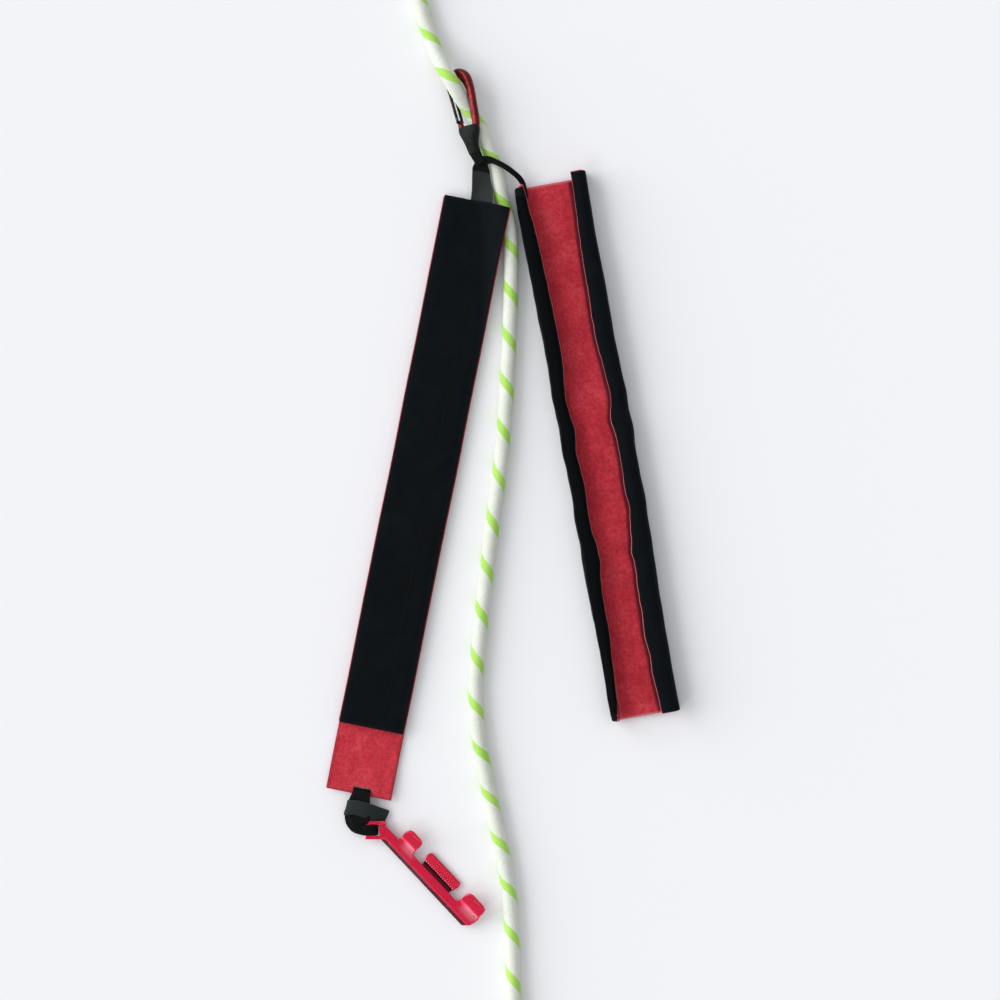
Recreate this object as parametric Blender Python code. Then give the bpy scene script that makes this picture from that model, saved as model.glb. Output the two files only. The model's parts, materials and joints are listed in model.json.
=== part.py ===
"""Pair of hook-and-loop rope protector sleeves on a lanyard, with carabiner, rope and rope clip.

Units are millimetres in the constants and metres in the scene. +Z is up, the floor is z = 0.
"""
import math

import bpy
import numpy as np
from mathutils import Matrix
from mathutils import Vector

MM = 0.001
ORIGIN_SHIFT = (0.706, 1.343)
GAP = 0.35

# ---- left sleeve (closed, lying flat) ----
LEFT_PIVOT = (-16.5, 250.1, 0.0)
LEFT_YAW = -11.35
LEFT_TOP = (2.4, -29.3)
LEFT_HALF = 24.8
LEFT_BLACK_LENGTH = 402.0
LEFT_TAB_END = 452.6
SHELL_THICK = 1.6
BASE_LINING_Z = 1.95
BASE_LINING_THICK = 1.45
FLAP_LINING_Z = 3.75
FLAP_LINING_THICK = 1.75
STRIP_THICK = 0.75
FLAP_SHELL_Z = 5.85
FLAP_SHELL_THICK = 1.45
FLAP_HINGE = (-24.6, 3.575)
FLAP_RIGHT = 23.3
LIFT_HEIGHT = 12.0
LIFT_WIDTH = 22.0
TAB_RAISE = 1.2
SLOT_X = (-6.2, 10.2)
LEFT_COLUMNS = [-21.0, -15.0, -9.0, -6.2, -3.4, -0.6, 2.1, 4.8, 7.5, 10.2, 12.6, 15.0, 17.4, 19.8, 22.2]
SLOT_Y = (-449.6, -445.4)
LIP_Y = -451.1
LIP_Z = BASE_LINING_Z + 0.5 * BASE_LINING_THICK + TAB_RAISE

# ---- right sleeve (open channel) ----
RIGHT_PIVOT = (-16.5, 250.1, 0.0)
RIGHT_YAW = 10.14
RIGHT_TOP = (49.25, -20.6)
RIGHT_LENGTH = 404.0
RIGHT_HALF_TOP = 28.5
RIGHT_HALF_BOTTOM = 25.6
FLOOR_INSET = 3.3
FLAP_RADIUS = 11.0
FLAP_CENTRE_Z = 7.0
HINGE_IN = 1.2
HINGE_Z = 2.0
NEAR_END_ANGLE = 92.0
FAR_END_ANGLE = 70.0

# ---- rope ----
ROPE_RADIUS = 5.5
ROPE_STEP = 13.0
ROPE_ROUTE = [
    (-72.0, 394.8, 6.4),
    (-64.0, 372.4, 6.2),
    (-57.8, 351.4, 6.0),
    (-50.6, 331.5, 9.0),
    (-45.2, 319.4, 14.0),
    (-40.4, 310.8, 16.2),
    (-34.6, 301.0, 13.4),
    (-26.6, 289.4, 7.2),
    (-18.6, 275.6, 5.8),
    (-13.6, 264.0, 5.6),
    (-9.6, 254.6, 5.6),
    (-5.3, 241.1, 5.6),
    (-1.9, 223.0, 5.6),
    (3.0, 205.9, 5.6),
    (5.0, 187.5, 5.6),
    (4.9, 147.0, 5.6),
    (2.4, 87.4, 5.6),
    (-1.5, 34.9, 5.6),
    (-9.0, -24.0, 5.6),
    (-15.6, -78.0, 5.6),
    (-20.0, -123.0, 5.6),
    (-21.4, -146.0, 5.6),
    (-18.6, -182.0, 5.6),
    (-10.6, -224.0, 5.6),
    (-2.4, -262.0, 5.6),
    (3.8, -298.0, 5.6),
    (6.4, -345.0, 5.6),
    (7.0, -375.0, 6.1),
    (7.3, -398.0, 6.4),
]
CAP_LENGTH = 12.0
CAP_RADIUS = 6.2

# ---- carabiner ----
BINER_FOOT = (-25.5, 272.6)
BINER_AXIS = (-0.172, 0.985)
BINER_TILT = 37.0
BINER_MID_Z = 10.9
BINER_PITCH = 0.05
BINER_BODY = [
    (-7.7, 8.2, 1.3),
    (-7.2, 5.2, 2.0),
    (-6.2, 2.2, 2.3),
    (-3.8, 0.2, 2.3),
    (0.0, 0.0, 2.3),
    (4.0, 0.2, 2.3),
    (6.4, 2.4, 2.4),
    (7.2, 6.6, 2.4),
    (7.5, 12.0, 2.4),
    (7.8, 20.0, 2.4),
    (7.8, 28.0, 2.4),
    (7.4, 35.0, 2.4),
    (5.6, 40.6, 2.4),
    (2.2, 44.4, 2.4),
    (-2.0, 45.4, 2.4),
    (-6.2, 43.8, 2.4),
    (-9.4, 40.2, 2.2),
    (-10.9, 36.4, 1.3),
]
GATE_FOOT = (-7.7, 9.4)
GATE_NOSE = (-11.0, 35.4)
GATE_WIRE = 1.05
GATE_SPREAD = 2.75

# ---- lanyard and hangers ----
SPLIT = (-16.5, 250.1)
WEB = 1.2
KEEPER_LENGTH = 6.0

# ---- tail webbing and rope clip ----
EYE = (-101.8, -249.4)
EYE_Z = 5.6
TAIL_INNER = 2.6
CLIP_THICK = 3.0
BAR_U = (0.685, -0.729)
BAR_V = (0.729, 0.685)


def smooth(t):
    t = min(1.0, max(0.0, t))
    return t * t * (3.0 - 2.0 * t)


# ---------------------------------------------------------------- scene helpers
def clear_scene():
    for item in list(bpy.data.objects):
        bpy.data.objects.remove(item, do_unlink=True)


def make_material(name, colour, roughness, metallic=0.0):
    material = bpy.data.materials.new(name)
    material.use_nodes = True
    shader = material.node_tree.nodes["Principled BSDF"]
    shader.inputs["Base Color"].default_value = (colour[0], colour[1], colour[2], 1.0)
    shader.inputs["Roughness"].default_value = roughness
    shader.inputs["Metallic"].default_value = metallic
    material.diffuse_color = (colour[0], colour[1], colour[2], 1.0)
    return material


def make_empty(name, location, yaw=0.0, parent=None):
    empty = bpy.data.objects.new(name, None)
    empty.empty_display_size = 0.01
    empty.location = [value * MM for value in location]
    empty.rotation_euler = (0.0, 0.0, math.radians(yaw))
    bpy.context.collection.objects.link(empty)
    empty.parent = parent
    return empty


def place(name, mesh, material, parent=None, location=(0.0, 0.0, 0.0)):
    body = bpy.data.objects.new(name, mesh)
    bpy.context.collection.objects.link(body)
    body.parent = parent
    body.location = [value * MM for value in location]
    if mesh is not None:
        mesh.materials.append(material)
    return body


def mesh_from(name, points, faces, flat=True):
    mesh = bpy.data.meshes.new(name)
    mesh.from_pydata([[value * MM for value in p] for p in points], [], faces)
    mesh.validate()
    mesh.update()
    volume = 0.0
    for face in mesh.polygons:
        corners = [mesh.vertices[i].co for i in face.vertices]
        for k in range(1, len(corners) - 1):
            volume += corners[0].dot(corners[k].cross(corners[k + 1]))
    if volume < 0.0:
        mesh.flip_normals()
    if not flat:
        for face in mesh.polygons:
            face.use_smooth = True
    mesh.update()
    return mesh


def grid_solid(name, low, high, hole=None, flat=False, mask=None):
    """Closed slab between two point grids of the same size; cells in a hole or outside a mask are open."""
    rows = len(low)
    cols = len(low[0])
    points = [p for line in low for p in line] + [p for line in high for p in line]
    shift = rows * cols
    keep = np.ones((rows - 1, cols - 1), dtype=bool)
    if hole:
        keep[hole[0]:hole[1], hole[2]:hole[3]] = False
    if mask is not None:
        keep = np.array(mask, dtype=bool)
    faces = []

    def at(i, j):
        return i * cols + j

    def filled(i, j):
        return 0 <= i < rows - 1 and 0 <= j < cols - 1 and keep[i, j]

    for i in range(rows - 1):
        for j in range(cols - 1):
            if not keep[i, j]:
                continue
            a, b, c, d = at(i, j), at(i + 1, j), at(i + 1, j + 1), at(i, j + 1)
            faces.append((a, b, c))
            faces.append((a, c, d))
            faces.append((c + shift, b + shift, a + shift))
            faces.append((d + shift, c + shift, a + shift))
            if not filled(i - 1, j):
                faces.append((d, d + shift, a + shift, a))
            if not filled(i + 1, j):
                faces.append((b, b + shift, c + shift, c))
            if not filled(i, j - 1):
                faces.append((a, a + shift, b + shift, b))
            if not filled(i, j + 1):
                faces.append((c, c + shift, d + shift, d))
    used = sorted({index for face in faces for index in face})
    remap = {old: new for new, old in enumerate(used)}
    points = [points[i] for i in used]
    faces = [tuple(remap[i] for i in face) for face in faces]
    return mesh_from(name, points, faces, flat)


def ring_solid(name, rings, closed=False, flat=False):
    """Closed body swept through rings of equal point count."""
    count = len(rings[0])
    points = [p for ring in rings for p in ring]
    faces = []
    spans = len(rings) if closed else len(rings) - 1
    for i in range(spans):
        k = (i + 1) % len(rings)
        for j in range(count):
            m = (j + 1) % count
            faces.append((i * count + j, k * count + j, k * count + m, i * count + m))
    if not closed:
        faces.append(tuple(range(count)))
        last = (len(rings) - 1) * count
        faces.append(tuple(last + j for j in reversed(range(count))))
    return mesh_from(name, points, faces, flat)


def spline_points(route, step):
    """Evenly spaced points on a Catmull-Rom curve through the route."""
    knots = [np.array(p, dtype=float) for p in route]
    knots = [2.0 * knots[0] - knots[1]] + knots + [2.0 * knots[-1] - knots[-2]]
    fine = []
    for i in range(1, len(knots) - 2):
        p0, p1, p2, p3 = knots[i - 1:i + 3]
        for k in range(24):
            t = k / 24.0
            fine.append(0.5 * (2.0 * p1 + (p2 - p0) * t + (2.0 * p0 - 5.0 * p1 + 4.0 * p2 - p3) * t * t
                               + (3.0 * p1 - p0 - 3.0 * p2 + p3) * t ** 3))
    fine.append(knots[-2])
    fine = np.array(fine)
    lengths = np.concatenate([[0.0], np.cumsum(np.linalg.norm(np.diff(fine, axis=0), axis=1))])
    count = max(2, int(round(lengths[-1] / step)) + 1)
    wanted = np.linspace(0.0, lengths[-1], count)
    return np.stack([np.interp(wanted, lengths, fine[:, k]) for k in range(fine.shape[1])], axis=1)


def ribbon(name, centres, sides, widths, thick, closed=False):
    """Flat strap: rectangular section swept along centres, its width along the side vectors."""
    centres = [np.array(c, dtype=float) for c in centres]
    total = len(centres)
    rings = []
    for i in range(total):
        if closed:
            tangent = centres[(i + 1) % total] - centres[i - 1]
        else:
            tangent = centres[min(total - 1, i + 1)] - centres[max(0, i - 1)]
        tangent = tangent / np.linalg.norm(tangent)
        side = np.array(sides[i], dtype=float)
        side = side - tangent * side.dot(tangent)
        side = side / np.linalg.norm(side)
        up = np.cross(tangent, side)
        w = 0.5 * widths[i]
        h = 0.5 * thick
        rings.append([centres[i] + side * w + up * h, centres[i] - side * w + up * h,
                      centres[i] - side * w - up * h, centres[i] + side * w - up * h])
    return ring_solid(name, rings, closed)


def tube(name, centres, radii, normal, sides=10):
    """Round rod along centres that lie close to one plane with the given normal."""
    centres = [np.array(c, dtype=float) for c in centres]
    normal = np.array(normal, dtype=float)
    rings = []
    for i in range(len(centres)):
        tangent = centres[min(len(centres) - 1, i + 1)] - centres[max(0, i - 1)]
        tangent = tangent / np.linalg.norm(tangent)
        across = np.cross(normal, tangent)
        across = across / np.linalg.norm(across)
        up = np.cross(tangent, across)
        ring = []
        for k in range(sides):
            angle = 2.0 * math.pi * k / sides
            ring.append(centres[i] + radii[i] * (math.cos(angle) * across + math.sin(angle) * up))
        rings.append(ring)
    return ring_solid(name, rings)


# ---------------------------------------------------------------- left sleeve
def rope_side(y):
    """Distance of the rope from the sleeve's centre line at a distance below its top edge."""
    below = max(0.0, -y)
    return 19.0 + 24.0 * (below / 97.0) ** 0.62


def lift(x, y):
    """Height of the sleeve's underside: its upper right corner climbs over the rope."""
    corner = LIFT_HEIGHT * smooth((x - rope_side(y) + LIFT_WIDTH) / LIFT_WIDTH)
    tab = TAB_RAISE * smooth((-y - 424.0) / 20.0)
    return corner + tab


def left_rows(top, bottom):
    rows = [top]
    for value in (-3.0, -6.5, -10.0, -14.0, -18.0, -24.0, -30.0, -38.0, -46.0, -56.0, -68.0, -82.0, -98.0,
                  -120.0, -160.0, -220.0, -280.0, -340.0, -380.0, -402.0, -426.0, -432.0, -438.0,
                  -445.4, -449.6):
        if bottom < value < top:
            rows.append(value)
    rows.append(bottom)
    return rows


def left_layer(name, x0, x1, top, bottom, z0, thick, hole=False):
    xs = [x0] + [x for x in LEFT_COLUMNS if x0 + 0.5 < x < x1 - 0.5] + [x1]
    ys = left_rows(top, bottom)
    cut = None
    if hole:
        cut = (ys.index(SLOT_Y[1]), ys.index(SLOT_Y[0]), xs.index(SLOT_X[0]), xs.index(SLOT_X[1]))
    low = [[(x, y, z0 + lift(x, y)) for x in xs] for y in ys]
    high = [[(x, y, z0 + thick + lift(x, y)) for x in xs] for y in ys]
    return grid_solid(name, low, high, cut)


def build_left_sleeve(materials):
    pivot = make_empty("left_sleeve_pivot", LEFT_PIVOT, LEFT_YAW)
    base_at = (LEFT_TOP[0], LEFT_TOP[1], 0.0)
    hinge = make_empty("left_flap_hinge", (LEFT_TOP[0] + FLAP_HINGE[0], LEFT_TOP[1], FLAP_HINGE[1]), 0.0, pivot)
    flap_at = (-FLAP_HINGE[0], 0.0, -FLAP_HINGE[1])
    half = LEFT_HALF
    bottom = -LEFT_BLACK_LENGTH
    mesh = left_layer("left_base_shell", -half + 0.4, half - 0.5, 0.0, bottom, 0.0, SHELL_THICK)
    place("left_base_shell", mesh, materials["shell"], pivot, base_at)
    mesh = left_layer("left_base_lining", -half, half, 0.0, -LEFT_TAB_END, BASE_LINING_Z,
                      BASE_LINING_THICK, True)
    place("left_base_lining", mesh, materials["felt"], pivot, base_at)
    mesh = left_layer("left_hook_strip", 8.0, 21.5, -19.0, bottom + 4.0, FLAP_LINING_Z, STRIP_THICK)
    place("left_hook_strip", mesh, materials["hook"], pivot, base_at)
    mesh = left_layer("left_flap_shell", -half + 0.4, FLAP_RIGHT, 0.0, bottom, FLAP_SHELL_Z, FLAP_SHELL_THICK)
    place("left_flap_shell", mesh, materials["shell"], hinge, flap_at)
    mesh = left_layer("left_flap_lining", -half + 0.6, 6.6, -18.5, bottom + 1.0, FLAP_LINING_Z,
                      FLAP_LINING_THICK)
    place("left_flap_lining", mesh, materials["felt"], hinge, flap_at)
    mesh = left_layer("left_loop_strip", 8.0, 21.5, -19.0, bottom + 4.0, FLAP_LINING_Z + STRIP_THICK + 0.3,
                      STRIP_THICK)
    place("left_loop_strip", mesh, materials["loop"], hinge, flap_at)
    return pivot


def left_hanger(materials, pivot):
    """Webbing from the split down into the sleeve, between the base lining and the flap."""
    low = []
    high = []
    across = [-1.0, -0.6, -0.2, 0.2, 0.6, 1.0]
    start_x = -LEFT_TOP[0]
    start_y = -LEFT_TOP[1]
    for k in range(13):
        y = start_y + 2.6 - k * (start_y + 2.6 + 14.0) / 12.0
        t = smooth((start_y - y) / start_y)
        centre = start_x + (3.6 - start_x) * t
        half = 4.5 + (9.5 - 4.5) * t
        if k == 0:
            half = 2.2
        line = []
        for a in across:
            x = centre + a * half
            rest = FLAP_LINING_Z + 0.55 + lift(x, min(0.0, y))
            flat = 11.1
            line.append((x, y, flat + (rest - flat) * smooth((start_y - 5.0 - y) / (start_y - 5.0))))
        low.append(line)
        high.append([(p[0], p[1], p[2] + 0.7) for p in line])
    mesh = grid_solid("left_hanger_webbing", low, high)
    at = (LEFT_TOP[0], LEFT_TOP[1], 0.0)
    place("left_hanger_webbing", mesh, materials["webbing"], pivot, at)
    low = []
    high = []
    for y in (-4.0, -6.5, -9.0, -11.5):
        line = []
        for a in across:
            x = 3.6 + a * 8.0
            line.append((x, y, FLAP_LINING_Z + 1.5 + lift(x, y)))
        low.append(line)
        high.append([(p[0], p[1], p[2] + 0.3) for p in line])
    mesh = grid_solid("left_hanger_bar_tack", low, high)
    place("left_hanger_bar_tack", mesh, materials["thread"], pivot, at)


# ---------------------------------------------------------------- right sleeve
def right_slab(name, inset, z0, thick, top, bottom):
    low = []
    high = []
    for k in range(9):
        y = top + (bottom - top) * k / 8.0
        half = RIGHT_HALF_TOP + (RIGHT_HALF_BOTTOM - RIGHT_HALF_TOP) * (-y / RIGHT_LENGTH) - inset
        xs = [half * (j / 4.0 - 1.0) for j in range(9)]
        low.append([(x, y, z0) for x in xs])
        high.append([(x, y, z0 + thick) for x in xs])
    return grid_solid(name, low, high)


def arc_slab(name, sign, inner, outer, start, end, top, bottom):
    """Curved wall in the frame of its hinge: x inward from the hinge, z up, y along it."""
    low = []
    high = []
    for k in range(9):
        y = top + (bottom - top) * k / 8.0
        line_in = []
        line_out = []
        for j in range(11):
            angle = math.radians(start + (end - start) * j / 10.0)
            for radius, line in ((inner, line_in), (outer, line_out)):
                x = FLAP_RADIUS - HINGE_IN + radius * math.cos(angle)
                z = FLAP_CENTRE_Z - HINGE_Z + radius * math.sin(angle)
                line.append((sign * x, y, z))
        low.append(line_in)
        high.append(line_out)
    return grid_solid(name, low, high)


def build_right_sleeve(materials):
    pivot = make_empty("right_sleeve_pivot", RIGHT_PIVOT, RIGHT_YAW)
    at = (RIGHT_TOP[0], RIGHT_TOP[1], 0.0)
    length = RIGHT_LENGTH
    mesh = right_slab("right_floor_shell", FLOOR_INSET, 0.0, SHELL_THICK, 0.0, -length)
    place("right_floor_shell", mesh, materials["shell"], pivot, at)
    mesh = right_slab("right_floor_lining", FLOOR_INSET + 0.2, BASE_LINING_Z, BASE_LINING_THICK, 0.3,
                      -length - 0.3)
    place("right_floor_lining", mesh, materials["felt"], pivot, at)
    taper = math.degrees(math.atan((RIGHT_HALF_TOP - RIGHT_HALF_BOTTOM) / length))
    sides = (("near", 1.0, NEAR_END_ANGLE, 0.5), ("far", -1.0, FAR_END_ANGLE, 5.0))
    for label, sign, end, rise in sides:
        place_x = RIGHT_TOP[0] - sign * (RIGHT_HALF_TOP - HINGE_IN)
        hinge = make_empty("right_" + label + "_hinge", (place_x, RIGHT_TOP[1], HINGE_Z), sign * taper, pivot)
        shell = arc_slab("right_" + label + "_flap_shell", sign, 9.4, 11.0, 198.0, end, rise, -length)
        place("right_" + label + "_flap_shell", shell, materials["shell"], hinge)
        lining = arc_slab("right_" + label + "_flap_lining", sign, 7.6, 9.05, 176.0, end - 2.0, rise - 0.3,
                          -length - 0.3)
        place("right_" + label + "_flap_lining", lining, materials["felt"], hinge)
        if label == "near":
            strip = arc_slab("right_loop_strip", sign, 11.35, 12.1, end + 46.0, end + 6.0, rise - 6.0, 6.0 - length)
            place("right_loop_strip", strip, materials["loop"], hinge)
        else:
            strip = arc_slab("right_hook_strip", sign, 6.5, 7.25, end + 52.0, end + 4.0, rise - 6.0, 6.0 - length)
            place("right_hook_strip", strip, materials["hook"], hinge)
    return pivot


def right_hanger(materials, pivot):
    """Strap from the split over the rope to the upper left corner of the open sleeve."""
    route = [
        (0.0, 0.0, 12.9),
        (6.5, 0.5, 12.95),
        (12.0, -1.6, 13.3),
        (17.3, -4.4, 13.2),
        (22.5, -7.8, 11.2),
        (27.2, -11.4, 7.6),
        (30.4, -15.8, 5.1),
        (31.6, -21.0, 4.55),
        (32.7, -27.6, 4.5),
    ]
    yaw = math.radians(-RIGHT_YAW)
    points = spline_points(route, 2.6)
    centres = []
    for p in points:
        x = p[0] * math.cos(yaw) - p[1] * math.sin(yaw)
        y = p[0] * math.sin(yaw) + p[1] * math.cos(yaw)
        centres.append((x, y, p[2]))
    sides = []
    for i in range(len(centres)):
        a = np.array(centres[max(0, i - 1)])
        b = np.array(centres[min(len(centres) - 1, i + 1)])
        flow = b - a
        sides.append((-flow[1], flow[0], 0.0))
    widths = [7.4 - 3.2 * smooth(i / 4.0) for i in range(len(centres))]
    thick = 1.6
    mesh = ribbon("right_hanger_webbing", [(c[0], c[1], c[2] + 0.05) for c in centres], sides, widths, thick)
    place("right_hanger_webbing", mesh, materials["webbing"], pivot)
    end = np.array(centres[-1])
    back = np.array(centres[-4])
    flow = (end - back) / np.linalg.norm(end - back)
    low_mid = [end - flow * d for d in (1.5, 4.0, 6.5)]
    sides = [(-flow[1], flow[0], 0.0)] * 3
    tack = [(p[0], p[1], p[2] + 0.05 + 0.5 * thick + 0.3 + 0.25) for p in low_mid]
    mesh = ribbon("right_hanger_bar_tack", tack, sides, [4.0] * 3, 0.5)
    place("right_hanger_bar_tack", mesh, materials["thread"], pivot)


# ---------------------------------------------------------------- carabiner
def biner_frame():
    tilt = math.radians(BINER_TILT)
    along = np.array([BINER_AXIS[0], BINER_AXIS[1], 0.0])
    along = along / np.linalg.norm(along)
    flat = np.array([along[1], -along[0], 0.0])
    across = flat * math.cos(tilt) + np.array([0.0, 0.0, math.sin(tilt)])
    return along, across


def biner_point(b, a):
    along, across = biner_frame()
    p = np.array([BINER_FOOT[0], BINER_FOOT[1], 0.0]) + along * a + across * b
    p[2] += BINER_MID_Z - BINER_PITCH * (a - 28.0)
    return p


def biner_normal():
    along, across = biner_frame()
    along = along - np.array([0.0, 0.0, BINER_PITCH])
    normal = np.cross(across, along)
    return normal / np.linalg.norm(normal)


def build_carabiner(materials):
    normal = biner_normal()
    path = spline_points(BINER_BODY, 2.6)
    centres = [biner_point(p[0], p[1]) for p in path]
    mesh = tube("carabiner_body", centres, [p[2] for p in path], normal, 12)
    place("carabiner_body", mesh, materials["red_metal"])
    foot = biner_point(GATE_FOOT[0], GATE_FOOT[1])
    hinge = make_empty("carabiner_gate_hinge", foot)
    nose = biner_point(GATE_NOSE[0], GATE_NOSE[1])
    inner = biner_point(GATE_NOSE[0] + 3.4, GATE_NOSE[1] + 1.0) - nose
    flow = nose - foot
    route = []
    for k in range(7):
        route.append(foot + flow * (0.02 + 0.94 * k / 6.0) + normal * GATE_SPREAD)
    bend = nose + inner
    for angle in (50.0, 20.0, 0.0, -20.0, -50.0):
        spread = math.sin(math.radians(angle)) * GATE_SPREAD * 1.1
        reach = math.cos(math.radians(angle))
        route.append(nose + inner * reach + normal * spread)
    for k in range(7):
        route.append(foot + flow * (0.96 - 0.94 * k / 6.0) - normal * GATE_SPREAD)
    points = spline_points(route, 1.8)
    rings = []
    up = np.cross(normal, flow / np.linalg.norm(flow))
    for i in range(len(points)):
        tangent = points[min(len(points) - 1, i + 1)] - points[max(0, i - 1)]
        tangent = tangent / np.linalg.norm(tangent)
        across = np.cross(up, tangent)
        across = across / np.linalg.norm(across)
        third = np.cross(tangent, across)
        ring = []
        for k in range(8):
            angle = 2.0 * math.pi * k / 8.0
            ring.append(points[i] + GATE_WIRE * (math.cos(angle) * across + math.sin(angle) * third) - foot)
        rings.append(ring)
    mesh = ring_solid("carabiner_wire_gate", rings)
    place("carabiner_wire_gate", mesh, materials["steel"], hinge)


# ---------------------------------------------------------------- lanyard
def lanyard_route():
    """Folded strap: out from the split underneath, round the foot of the carabiner and back on top."""
    foot = biner_point(0.0, 0.0)
    along, across = biner_frame()
    flat = np.array([along[1], -along[0], 0.0])
    split = np.array([SPLIT[0], SPLIT[1], 0.0])
    start = foot - along * 6.0
    centres = []
    sides = []
    inner = 2.85 + 0.5 * WEB
    steps = 7
    end_flow = np.array([-0.42, 0.91, 0.0])
    gap_split = 2.3

    def run(k, sign):
        t = k / float(steps)
        base = np.array([split[0] - 0.4, split[1] - 2.2, 12.3])
        p = base + (start - base) * t
        bow = math.sin(math.pi * t)
        p = p + np.array([-1.2, 0.0, 0.0]) * bow
        side = flat * (1.0 - smooth(t)) + across * smooth(t)
        side = side / np.linalg.norm(side)
        flow = end_flow * (1.0 - t) + along * t
        up = np.cross(side, flow)
        up = up / np.linalg.norm(up)
        half = gap_split + (0.5 * WEB + 0.5 - gap_split) * smooth(t * 2.4 - 0.75)
        half = half + (inner - half) * smooth((t - 0.62) / 0.38)
        return p + up * half * sign, side

    for k in range(steps):
        p, side = run(k, -1.0)
        centres.append(p)
        sides.append(side)
    up = np.cross(across, along)
    for k in range(9):
        angle = math.radians(-115.0 + 230.0 * k / 8.0)
        centres.append(foot + along * math.cos(angle) * inner + up * math.sin(angle) * inner)
        sides.append(across)
    for k in reversed(range(steps)):
        p, side = run(k, 1.0)
        centres.append(p)
        sides.append(side)
    return centres, sides


def build_lanyard(materials):
    centres, sides = lanyard_route()
    last = len(centres) - 1
    widths = []
    for i in range(len(centres)):
        from_end = min(i, last - i) / 6.0
        widths.append(8.2 - 2.6 * smooth(from_end))
    mesh = ribbon("lanyard_webbing", centres, sides, widths, WEB)
    place("lanyard_webbing", mesh, materials["webbing"])
    low = np.array(centres[4])
    high = np.array(centres[last - 4])
    middle = 0.5 * (low + high)
    flow = np.array(centres[5]) - np.array(centres[3])
    flow = flow / np.linalg.norm(flow)
    up = (high - low) / np.linalg.norm(high - low)
    side = np.cross(up, flow)
    reach_x = 0.5 * widths[3] + 0.95 + 0.55
    reach_z = 0.5 * float(np.linalg.norm(high - low)) + 0.5 * WEB + 1.8 + 0.55
    loop = []
    for k in range(24):
        angle = 2.0 * math.pi * k / 24.0
        c = math.cos(angle)
        t = math.sin(angle)
        power = 0.35
        x = math.copysign(abs(c) ** power, c) * reach_x
        z = math.copysign(abs(t) ** power, t) * reach_z
        loop.append(middle + side * x + up * z)
    mesh = ribbon("carabiner_keeper", loop, [flow] * 24, [KEEPER_LENGTH] * 24, 1.1, True)
    place("carabiner_keeper", mesh, materials["rubber"])
    tack = [high - flow * 9.5 + up * 1.2, high - flow * 11.5 + up * 1.2]
    return tack


# ---------------------------------------------------------------- tail webbing and rope clip
def tail_route():
    """Closed belt round the sleeve tab's lip and round the clip's eye bar, in scene axes."""
    yaw = math.radians(LEFT_YAW)
    across = np.array([math.cos(yaw), math.sin(yaw), 0.0])
    along = np.array([-math.sin(yaw), math.cos(yaw), 0.0])
    top = np.array([LEFT_PIVOT[0], LEFT_PIVOT[1], 0.0]) + across * LEFT_TOP[0] + along * LEFT_TOP[1]
    lip = top + across * 2.0 + along * LIP_Y
    eye = np.array([EYE[0], EYE[1], 0.0])
    p0 = lip
    p1 = lip - along * 15.0
    p2 = eye - np.array([14.5, 0.0, 0.0])
    p3 = eye
    up = np.array([0.0, 0.0, 1.0])

    def plan(t):
        s = 1.0 - t
        p = p0 * s ** 3 + p1 * 3.0 * s * s * t + p2 * 3.0 * s * t * t + p3 * t ** 3
        d = (p1 - p0) * 3.0 * s * s + (p2 - p1) * 6.0 * s * t + (p3 - p2) * 3.0 * t * t
        d = d / np.linalg.norm(d)
        z = LIP_Z + (EYE_Z - LIP_Z) * smooth(t)
        half = 2.6 + (TAIL_INNER + 0.5 * WEB - 2.6) * t
        half = half - 0.9 * math.sin(math.pi * t)
        wide = 12.6 - 5.4 * smooth((t - 0.15) / 0.6)
        return p + up * z, np.cross(up, d), half, wide

    centres = []
    sides = []
    widths = []
    steps = 14
    for k in range(steps + 1):
        p, side, half, wide = plan(k / float(steps))
        centres.append(p + up * half)
        sides.append(side)
        widths.append(wide)
    p, side, half, wide = plan(1.0)
    for k in range(1, 8):
        angle = math.pi * (0.5 - k / 8.0)
        centres.append(p + np.array([math.cos(angle) * half, 0.0, math.sin(angle) * half]))
        sides.append(side)
        widths.append(wide)
    for k in reversed(range(steps + 1)):
        p, side, half, wide = plan(k / float(steps))
        centres.append(p - up * half)
        sides.append(-side)
        widths.append(wide)
    p, side, half, wide = plan(0.0)
    for k in range(1, 8):
        angle = math.pi * (-0.5 + k / 8.0)
        centres.append(p + along * math.cos(angle) * half + up * math.sin(angle) * half)
        sides.append(side)
        widths.append(wide)
    return centres, sides, widths, lip


def build_tail(materials, left):
    centres, sides, widths, lip = tail_route()
    hinge = make_empty("tail_webbing_hinge", (LEFT_TOP[0] + 2.0, LEFT_TOP[1] + LIP_Y, LIP_Z), 0.0, left)
    yaw = math.radians(-LEFT_YAW)
    turn = np.array([[math.cos(yaw), -math.sin(yaw), 0.0], [math.sin(yaw), math.cos(yaw), 0.0], [0.0, 0.0, 1.0]])
    origin = lip + np.array([0.0, 0.0, LIP_Z])
    local = [turn @ (c - origin) for c in centres]
    turned = [turn @ side for side in sides]
    for i in range(len(turned)):
        if i > 22:
            turned[i] = -turned[i]
    mesh = ribbon("tail_webbing", local, align(turned), widths, WEB, True)
    place("tail_webbing", mesh, materials["webbing"], hinge)
    tack = [local[k] + np.array([0.0, 0.0, 0.5 * WEB + 0.3 + 0.25]) for k in (4, 5, 6)]
    sides = [turned[k] for k in (4, 5, 6)]
    mesh = ribbon("tail_bar_tack", tack, sides, [widths[5] - 2.5] * 3, 0.5)
    place("tail_bar_tack", mesh, materials["thread"], hinge)
    return hinge, origin, turn


def align(vectors):
    """The same side directions with no flips between neighbours."""
    out = [vectors[0]]
    for v in vectors[1:]:
        out.append(v if v.dot(out[-1]) > 0.0 else -v)
    return out


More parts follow.
